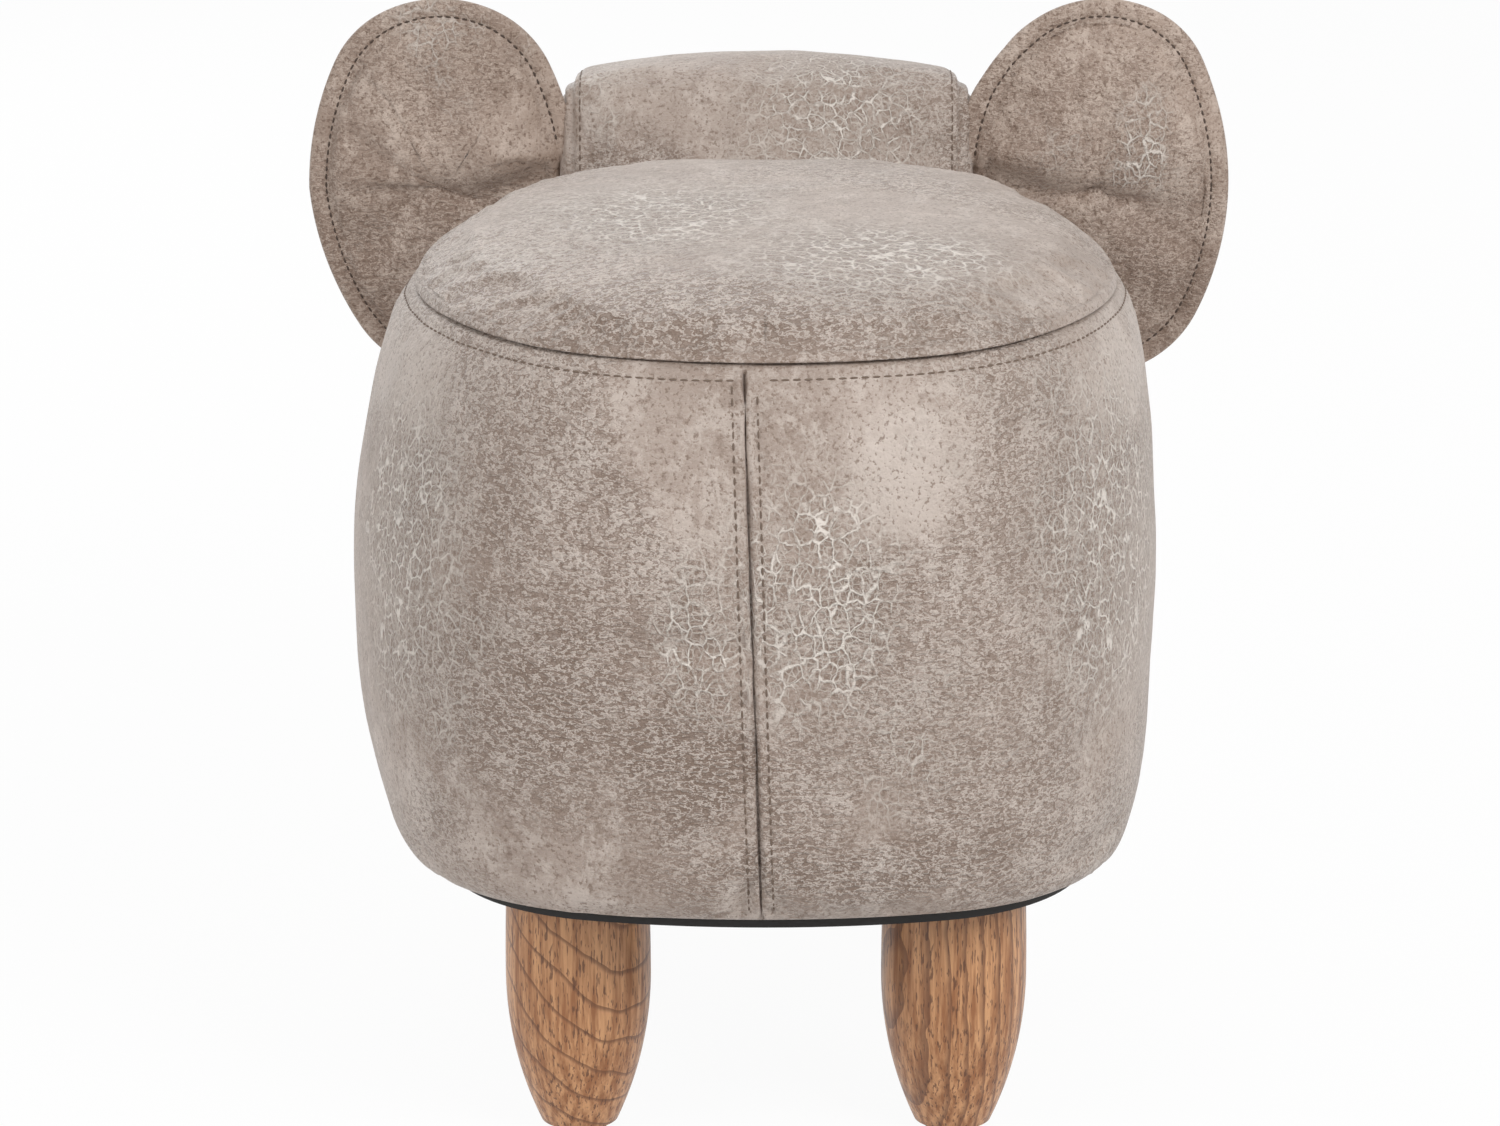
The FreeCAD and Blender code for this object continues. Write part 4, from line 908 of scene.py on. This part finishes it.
def head_hollows(point):
    """Seam valleys, folds over the neck and slack of the leather, in metres along the normal."""
    move = slackness(point, HEAD_SLACK, waves=17, ripples=60)
    if point.y > HEAD_SEAM_START_Y:
        away = abs(point.x) - HEAD_SEAM
        move -= HEAD_SEAM_DEEP * bell(away, HEAD_SEAM_WIDE)
        move += LIP_HIGH * bell(abs(away) - HEAD_LIP_OFF, HEAD_LIP_WIDE)
    fold = max(0, math.sin(point.x * NECK_FOLDS + FOLDS_WANDER * noise.noise(point * 20)))
    return move - NECK_FOLD_DEEP * fold * bell(point.y - NECK_FOLD_Y, NECK_FOLD_WIDE)


def head_held(point):
    """The head is sewn at its two seams and closed round the neck."""
    return point.y < NECK_HELD_Y or abs(abs(point.x) - HEAD_SEAM) < HEAD_SEWN


head = wrapped("head", 4 * QUARTER, len(HEAD_SECTIONS) - 1, head_place, closed=True)
stuffed(head, head_held, HEAD_CAP)
finer(head)
push(head, head_hollows)
coat(head, head_leather)
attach(head, "body")
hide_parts("head_cover_centre", "head_cover_left", "head_cover_right", "head_padding")

bpy.context.view_layer.update()
head_rows = []
HEAD_STITCH_OFF, ROW_POINTS = 0.0042, 60
BACK_LOW_Z, BACK_RUN, TOP_REAR_Y, TOP_RUN = 0.225, 0.125, 0.10, 0.105
HEAD_BEHIND_Y, ABOVE_Z, FACING_BACK, FACING_UP = -0.2, 0.6, -0.5, 0.4
for sign in (-1, 1):
    stitch_x = sign * (HEAD_SEAM - HEAD_STITCH_OFF)
    over_top, up_back = [], []
    for step in range(ROW_POINTS):
        share = step / (ROW_POINTS - 1)
        found = on_surface(head, (stitch_x, HEAD_BEHIND_Y, BACK_LOW_Z + BACK_RUN * share), (0, 1, 0))
        if found and found[1].y < FACING_BACK:
            up_back.append(found)
        found = on_surface(head, (stitch_x, TOP_REAR_Y + TOP_RUN * share, ABOVE_Z), (0, 0, -1))
        if found and found[1].z > FACING_UP:
            over_top.append(found)
    head_rows += [up_back, over_top]
stitches("head_stitches", head_rows, STITCH_PITCH, thread, THREAD)


# Trunk: a stuffed leather tube sewn to the brow, tapering as it bends down to its tip.
# The stuffing makes shallow folds across it.

TRUNK_BEND, TRUNK_HANG, TRUNK_ROOT, TRUNK_TIP = 0.080, 0.062, 0.042, 0.019
TRUNK_MIDDLE_Y, TRUNK_TOP = 0.1788, 0.263
TRUNK_RUN = TRUNK_BEND * math.pi / 2 + TRUNK_HANG
TRUNK_COLUMNS, TRUNK_ROWS, TRUNK_START, TRUNK_END = 72, 84, 0.10, 0.955
TAPER_END, TAPER_CURVE = 0.93, 0.8
FOLD_DEEP, FOLD_PITCH, FOLD_ON_TOP, FOLD_WANDER, FOLD_SHARP = 0.0014, 0.0125, 0.35, 1.5, 3
TRUNK_SEWN_Y, TRUNK_CAP, TRUNK_SLACK = 0.2, 0.0012, 0.0006
# Shares of the trunk's length and of its radius, along the tube and over its rounded tip.
trunk_rows = [(TRUNK_START + (TRUNK_END - TRUNK_START) * step / TRUNK_ROWS, 1.0)
              for step in range(TRUNK_ROWS + 1)]
trunk_rows += [(0.968, 0.97), (0.978, 0.9), (0.985, 0.78), (0.989, 0.6), (0.991, 0.35), (0.992, 0.0)]


def trunk_place(column, row):
    share, draw = trunk_rows[row]
    along = share * TRUNK_RUN
    radius = (TRUNK_ROOT + (TRUNK_TIP - TRUNK_ROOT) * min(share, TAPER_END) ** TAPER_CURVE) * draw
    turn = min(along / TRUNK_BEND, math.pi / 2)
    drop = max(0, along - TRUNK_BEND * math.pi / 2)
    round_turn = 2 * math.pi * column / TRUNK_COLUMNS
    wander = noise.noise(Vector((column * 0.05, row * 0.04, 1)))
    fold = 0.5 + 0.5 * math.cos(along * 2 * math.pi / FOLD_PITCH + FOLD_WANDER * wander)
    under = 0.5 - 0.5 * math.sin(round_turn)
    if draw == 1.0:
        radius -= FOLD_DEEP * fold ** FOLD_SHARP * (FOLD_ON_TOP + (1 - FOLD_ON_TOP) * under)
    if row == 0:
        radius = 0.0
    middle = Vector((0, TRUNK_MIDDLE_Y + TRUNK_BEND * math.sin(turn),
                     TRUNK_TOP - TRUNK_BEND + TRUNK_BEND * math.cos(turn) - drop))
    out = Vector((0, math.sin(turn), math.cos(turn)))
    return middle + Vector((radius * math.cos(round_turn), 0, 0)) + out * (radius * math.sin(round_turn))


trunk = wrapped("trunk", TRUNK_COLUMNS, len(trunk_rows) - 1, trunk_place, closed=True)
stuffed(trunk, lambda point: point.y < TRUNK_SEWN_Y, TRUNK_CAP)
finer(trunk)
push(trunk, lambda point: TRUNK_SLACK * noise.noise(point * 30))
TRUNK_CRACKS = (((0.02, 0.265, 0.23), (0.03, 0.03, 0.04)), ((-0.02, 0.27, 0.14), (0.03, 0.03, 0.03)))
TRUNK_STAINS = (((0, 0.22, 0.15), (0.03, 0.03, 0.06)),)
trunk_leather = distressed_leather("trunk_leather", LIGHT, MIDDLE, DARK, TRUNK_CRACKS, TRUNK_STAINS)
coat(trunk, trunk_leather)
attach(trunk, "body")
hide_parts("trunk_cover", "trunk_filling")


# Ears: two leather faces with a thin filling, sewn round a flat rim and caught in the seams of the head.
# The filling gathers in folds that fan out from the root.

EAR_HALF, EAR_RISE, EAR_TOP, EAR_Y = 0.059, 0.084, 0.393, 0.1198
EAR_ROOT, EAR_FAN_Z = 0.081, 0.325
EAR_MIDDLE_X, EAR_MIDDLE_Z = EAR_ROOT + EAR_HALF, EAR_TOP - EAR_RISE
EAR_ROUND, EAR_GROOVE, EAR_STEPS = 0.8, 0.0077, 216
# Browner and darker copy of the body's tones: painted shade for the ears, which hang in the shade of the
# lamps above.
EAR_SHADED_TONES = (tone(212, 195, 182), tone(176, 156, 142), tone(110, 87, 71))
EAR_CRACKS = (((0.165, 0.12, 0.330), (0.014, 0.03, 0.022)),)
# Painted shade: the lower half of each ear is darkened, where the lamps above leave it in shade.
EAR_PAINTED_SHADE = (
    ((-0.14, 0.12, 0.276), (0.095, 0.07, 0.044)),
    ((0.14, 0.12, 0.268), (0.080, 0.06, 0.032)),
)
ear_leather = distressed_leather("ear_leather", *EAR_SHADED_TONES, EAR_CRACKS, EAR_PAINTED_SHADE, wrinkling=0.6)
# Section of an ear in millimetres, as inset from the edge and half thickness: rim, stitched groove, padding.
EAR_SECTION = (
    (0, 0.3), (0.35, 1.0), (1.2, 1.5), (3, 1.6), (5, 1.5), (6.4, 1.2), (7.2, 0.75), (7.7, 0.5), (8.3, 0.9),
    (9.4, 2.4), (11, 3.7), (13, 4.5), (16, 5.2), (20, 5.8), (25, 6.2), (31, 6.4), (38, 6.5), (45, 6.6),
    (51, 6.6), (55, 6.5), (57.5, 6.5))
ear_rings = [(inset / 1000, half / 1000) for inset, half in EAR_SECTION]
DRAWN_IN, DRAWN_RUN = 0.0055, 0.06
MOVED_OUT, PULLED_OUT, PULLED_Z, PULLED_RUN = 0.0025, 0.0045, 0.352, 0.02
ROUND_INSET, EAR_POLE = 0.022, 0.0015
RIDGE_HIGH, RIDGE_TURN, RIDGE_WIDE = 0.014, 0.08, 0.42
BELOW_TURN, PLEAT_DEEP, SET_BACK, HANG_BACK, HANG_RUN = 0.6, 0.0042, 0.006, 0.007, 0.09
EAR_SLACK, EAR_CUP, EAR_WAVE, WAVE_START, WAVE_RUN = 0.0012, 0.007, 0.0016, 0.02, 0.03
FAN_BACK, PLEATS, PLEAT_WANDER = 0.004, 15, 2.5
LOOSE_INSET, LOOSE_START, LOOSE_END, SET_INSET, SLACK_INSET = 0.016, 0.03, 0.14, 0.02, 0.012


def climb(number, run):
    """Share of a run that a number covers, from 0 to 1."""
    return min(1, max(0, number / run))


def ear_lean(side, x, z):
    """Sideways place of an ear's point: each ear hangs in its own way, as it was stuffed by hand."""
    out = max(0, (x - EAR_ROOT) / (2 * EAR_HALF))
    if side < 0:
        return x - DRAWN_IN * out * climb(EAR_MIDDLE_Z - z, DRAWN_RUN)
    return x + MOVED_OUT * min(1, 4 * out) + PULLED_OUT * max(0, 1 - out) * climb(z - PULLED_Z, PULLED_RUN)


def ear_place(sign):
    rings = [(inset, -half) for inset, half in reversed(ear_rings)] + ear_rings

    def place(column, row):
        inset, offset = rings[row]
        turn = 360 * column / EAR_STEPS
        kept = min(inset, ROUND_INSET)
        x, z = oval(EAR_HALF - kept, EAR_RISE - kept, EAR_ROUND, turn)
        if inset > kept:
            shrink = max(0.0, 1 - (inset - kept) / (EAR_HALF - kept - EAR_POLE))
            x, z = x * shrink, z * shrink
        x, z = EAR_MIDDLE_X + x, EAR_MIDDLE_Z + z
        far = math.hypot(x - EAR_ROOT, z - EAR_FAN_Z)
        fan = math.atan2(z - EAR_FAN_Z, x - EAR_ROOT + FAN_BACK)
        loose = min(1, inset / LOOSE_INSET) * min(1, far / LOOSE_START) * max(0, 1 - far / LOOSE_END)
        below = window(-fan, BELOW_TURN, FAR, BELOW_TURN)
        wander = PLEAT_WANDER * noise.noise(Vector((far * 16, fan * 1.5, sign * 3)))
        pleats = math.sin(fan * PLEATS + wander)
        fold = loose * (PLEAT_DEEP * below * pleats - RIDGE_HIGH * bell(fan - RIDGE_TURN, RIDGE_WIDE))
        fold += below * (SET_BACK * min(1, inset / SET_INSET) + HANG_BACK * climb(EAR_FAN_Z - z, HANG_RUN))
        fold += EAR_SLACK * min(1, inset / SLACK_INSET) * noise.noise(Vector((x * 30, z * 30, sign * 5)))
        cup = EAR_CUP * ((x - EAR_ROOT) / (2 * EAR_HALF)) ** 2
        wave = EAR_WAVE * noise.noise(Vector((x * 16, z * 16, 7 * sign)))
        wave *= climb(x - EAR_ROOT - WAVE_START, WAVE_RUN)
        return (sign * ear_lean(sign, x, z), EAR_Y + offset + fold + cup + wave, z)

    return place


EAR_SEWN, EAR_CAUGHT, EAR_BEND = 0.009, 0.012, 2.2
EAR_CAP, EAR_STRETCH = 0.003, 0.03


def ear_held(point):
    """An ear is sewn flat round its rim, and caught in the head at its root."""
    across = 2 * abs(point.x) - ear_lean(point.x, abs(point.x), point.z)
    x, z = across - EAR_MIDDLE_X, point.z - EAR_MIDDLE_Z
    near = (abs(x) / (EAR_HALF - EAR_SEWN)) ** EAR_BEND + (abs(z) / (EAR_RISE - EAR_SEWN)) ** EAR_BEND
    return near > 1 or x < EAR_CAUGHT - EAR_HALF


dark_thread = sewing_thread("dark_thread", tone(56, 43, 35), tone(84, 68, 57))
DARK_THREAD, EAR_PITCH, EAR_CLEAR_X, ROW_GAP = 0.00055, 0.0036, 0.09, 0.02
for side_name, sign in SIDES:
    ear = wrapped("ear_" + side_name, EAR_STEPS, 2 * len(ear_rings) - 1, ear_place(sign), closed=True)
    stuffed(ear, ear_held, EAR_CAP, EAR_STRETCH)
    coat(ear, ear_leather)
    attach(ear, "body")
    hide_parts("ear_%s_cover" % side_name, "ear_%s_filling" % side_name)
    bpy.context.view_layer.update()
    ear_rows = []
    for way in (-1, 1):
        row = []
        for column in range(EAR_STEPS + 1):
            x, z = oval(EAR_HALF - EAR_GROOVE, EAR_RISE - EAR_GROOVE, EAR_ROUND, 360 * column / EAR_STEPS)
            x, z = EAR_MIDDLE_X + x, EAR_MIDDLE_Z + z
            start = (sign * ear_lean(sign, x, z), EAR_Y + way * 0.1, z)
            found = on_surface(ear, start, (0, -way, 0))
            if found and abs(found[0].x) > EAR_CLEAR_X:
                row.append(found)
        half = next((number for number, (here, there) in enumerate(zip(row, row[1:]))
                     if (there[0] - here[0]).length > ROW_GAP), len(row) - 1)
        ear_rows += [row[:half + 1], row[half + 1:]]
    stitches("ear_stitches_" + side_name, ear_rows, EAR_PITCH, dark_thread, DARK_THREAD)


# Eyes: glossy dark plastic domes on posts, held by washers inside the head.
# They are bought as sets and pushed through holes in the leather.

gloss = Finish("eye_gloss")
depth = gloss.noise(160, 3, 0.5)
eye_gloss = gloss.surface(
    Base_Color=gloss.mix(gloss.ramp(depth, 0.35, 0.65), tone(18, 13, 10), tone(34, 24, 18)),
    Roughness=gloss.ramp(depth, 0.3, 0.7, 0.06, 0.12), Coat_Weight=0.5, Coat_Roughness=0.05)
for part in ("eye_left", "eye_right"):
    coat(nodes[part], eye_gloss)


# Lid: a plywood board with foam, in a leather cover that is pulled round the edge and stapled below.
# It is crowned across its top, rests on the rim of the body and turns on two hinges at the neck.

LID_Z, LID_CROWN = 0.3223, 0.024
LID_MIDDLE_Y = WIDEST_Y + (RIM_PLAN["front"] - RIM_PLAN["rear"]) / 2
LID_FLARE, FLARE_ROWS, FLARE_END, FLARE_EDGE = 0.006, 3, 0.09, 0.03
# Insets of the rings on the underside: the leather's turned edge, then the board behind the lining.
LID_UNDER = (0.0006, 0.002, 0.006, 0.012, 0.02, 0.0256, 0.026, 0.03, 0.04, 0.06, 0.08, 0.1, 0.12)
LID_RINGS, TURNED_RINGS, UNDER_STEPS = 64, 6, len(LID_UNDER) + 1
TURNED_LIFT, BOARD_LIFT, CROWN_LIFT = 0.0003, 0.0011, 0.0002
LID_EDGE, LID_EDGE_RUN, LID_STAPLED, LID_CAP = 0.002, 0.006, 0.004, 0.0015
lid_outline = half_plan(1, 0)


def lid_flare(row, y):
    """Share by which the lid's lowest edge stands out over the body's rim, except beside the hinges."""
    return LID_FLARE * bell(row - LID_RINGS, FLARE_ROWS) * window(y, -FAR, FLARE_END, FLARE_EDGE)


def lid_place(column, row):
    x, y = loop_point(lid_outline, column)
    y -= LID_MIDDLE_Y
    if row <= LID_RINGS:
        angle = math.pi / 2 * (row / LID_RINGS)
        share = math.sqrt(math.sin(angle))
        height = LID_Z + CROWN_LIFT + LID_CROWN * math.cos(angle)
    else:
        step = row - LID_RINGS
        share = 1 - LID_UNDER[step - 1] / RIM_PLAN["half"] if step < UNDER_STEPS else 0.0
        height = LID_Z + (TURNED_LIFT if step <= TURNED_RINGS else BOARD_LIFT)
    share += lid_flare(row, y)
    return (x * share, LID_MIDDLE_Y + y * share, height)


def lid_hollows(point):
    """Slack of the leather over the lid's foam, in metres along the normal; none at its edge."""
    if point.z < LID_Z + LID_EDGE:
        return 0.0
    return slackness(point, SLACK, waves=14, ripples=52) * climb(point.z - LID_Z - LID_EDGE, LID_EDGE_RUN)


LID_CRACKS = (
    ((-0.041, -0.110, 0.346), (0.046, 0.060, 0.03)),
    ((0.043, -0.180, 0.340), (0.052, 0.050, 0.03)),
)
LID_STAINS = (((0.000, -0.234, 0.333), (0.130, 0.034, 0.03)),)
lid_leather = distressed_leather("lid_leather", LIGHT, MIDDLE, DARK, LID_CRACKS, LID_STAINS, crack_width=0.15)
lid = wrapped("lid_cushion", 2 * COLUMNS, LID_RINGS + UNDER_STEPS, lid_place, closed=True)
stuffed(lid, lambda point: point.z < LID_Z + LID_STAPLED, LID_CAP)
push(lid, lid_hollows)
coat(lid, lid_leather)
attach(lid, "lid")
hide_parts("lid_cover", "lid_foam")


# Lid lining: the same brown cloth as in the box, glued under the lid board inside the leather's turned edge.
# It shows only when the lid is up.

LID_LINING_INSET, LID_LINING_LIFT, LID_LINING_CREASE = 0.0285, 0.0005, 0.0002
lid_lining = flat_disc("lid_cloth", half_plan(1, -LID_LINING_INSET), LID_Z + LID_LINING_LIFT,
                       LID_LINING_CREASE)
coat(lid_lining, lining_cloth)
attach(lid_lining, "lid")
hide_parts("lid_lining")


# Studio: a white floor and background, a large soft lamp above the camera and to its right, and three fills.
# The camera looks down on the rump with a long lens, as a product photographer would stand behind the animal.

WHITE, FLOOR_GREY = (1, 1, 1, 1), (0.86, 0.86, 0.86, 1)
FLOOR_SIZE, FLOOR_Z, FLOOR_GLOW, AMBIENT = 40, -0.0005, 0.95, 0.42


def seen_directly(tree):
    """1 on rays from the camera, off a gloss or through glass, which see the studio as plain white."""
    rays = tree.nodes.new("ShaderNodeLightPath")
    seen = rays.outputs["Is Camera Ray"]
    for kind in ("Is Glossy Ray", "Is Transmission Ray"):
        either = tree.nodes.new("ShaderNodeMath")
        either.operation = "MAXIMUM"
        tree.links.new(seen, either.inputs[0])
        tree.links.new(rays.outputs[kind], either.inputs[1])
        seen = either.outputs[0]
    return seen


bpy.ops.object.select_all(action="DESELECT")
bpy.ops.mesh.primitive_plane_add(size=FLOOR_SIZE, location=(0, 0, FLOOR_Z))
floor = bpy.context.object
floor.name = "studio_floor"
ground = Finish("studio_white")
ground.surface(Base_Color=FLOOR_GREY, Roughness=0.9)
glow = ground.add("Emission", {"Color": WHITE, "Strength": 1.0})
seen_share = ground.times(seen_directly(ground.tree), FLOOR_GLOW)
lit_floor = ground.add("MixShader", {0: seen_share, 1: ground.shader.outputs[0], 2: glow})
ground.plug(ground.tree.nodes["Material Output"].inputs["Surface"], lit_floor)
coat(floor, ground.material)

world = bpy.data.worlds.new("studio")
bpy.context.scene.world = world
world.use_nodes = True
sky = world.node_tree
ambient = sky.nodes["Background"]
ambient.inputs["Color"].default_value = WHITE
ambient.inputs["Strength"].default_value = AMBIENT
backdrop = sky.nodes.new("ShaderNodeBackground")
backdrop.inputs["Color"].default_value = WHITE
sky_mix = sky.nodes.new("ShaderNodeMixShader")
sky.links.new(seen_directly(sky), sky_mix.inputs[0])
sky.links.new(ambient.outputs[0], sky_mix.inputs[1])
sky.links.new(backdrop.outputs[0], sky_mix.inputs[2])
sky.links.new(sky_mix.outputs[0], sky.nodes["World Output"].inputs["Surface"])


def lamp(name, place, aim, size, power):
    light = bpy.data.lights.new(name, "AREA")
    light.size = size
    light.energy = power
    holder = bpy.data.objects.new(name, light)
    bpy.context.scene.collection.objects.link(holder)
    holder.location = place
    holder.rotation_euler = (Vector(aim) - Vector(place)).to_track_quat("-Z", "Y").to_euler()


lamp("key", (1.3, -1.7, 1.7), (0, -0.1, 0.25), 1.0, 34)
lamp("fill", (-1.7, -1.5, 1.2), (0, -0.1, 0.25), 1.4, 14.5)
lamp("top", (0.1, 1.2, 1.9), (0, 0, 0.3), 1.4, 6.5)
lamp("front", (-1.0, 2.0, 1.2), (0, 0.1, 0.25), 1.4, 12)

CAMERA_PLACE, CAMERA_DOWN, CAMERA_LENS, CAMERA_SENSOR = (0, -2.1, 0.757), 15.5, 124.8, 36
PHOTO_WIDTH, PHOTO_SHIFT = 1500, -16
view = bpy.data.cameras.new("photo_view")
view.sensor_width = CAMERA_SENSOR
view.lens = CAMERA_LENS
view.shift_x = PHOTO_SHIFT / PHOTO_WIDTH
camera = bpy.data.objects.new("photo_view", view)
bpy.context.scene.collection.objects.link(camera)
camera.location = CAMERA_PLACE
camera.rotation_euler = (math.radians(90 - CAMERA_DOWN), 0, 0)
bpy.context.scene.camera = camera
bpy.context.scene.view_settings.view_transform = "Standard"
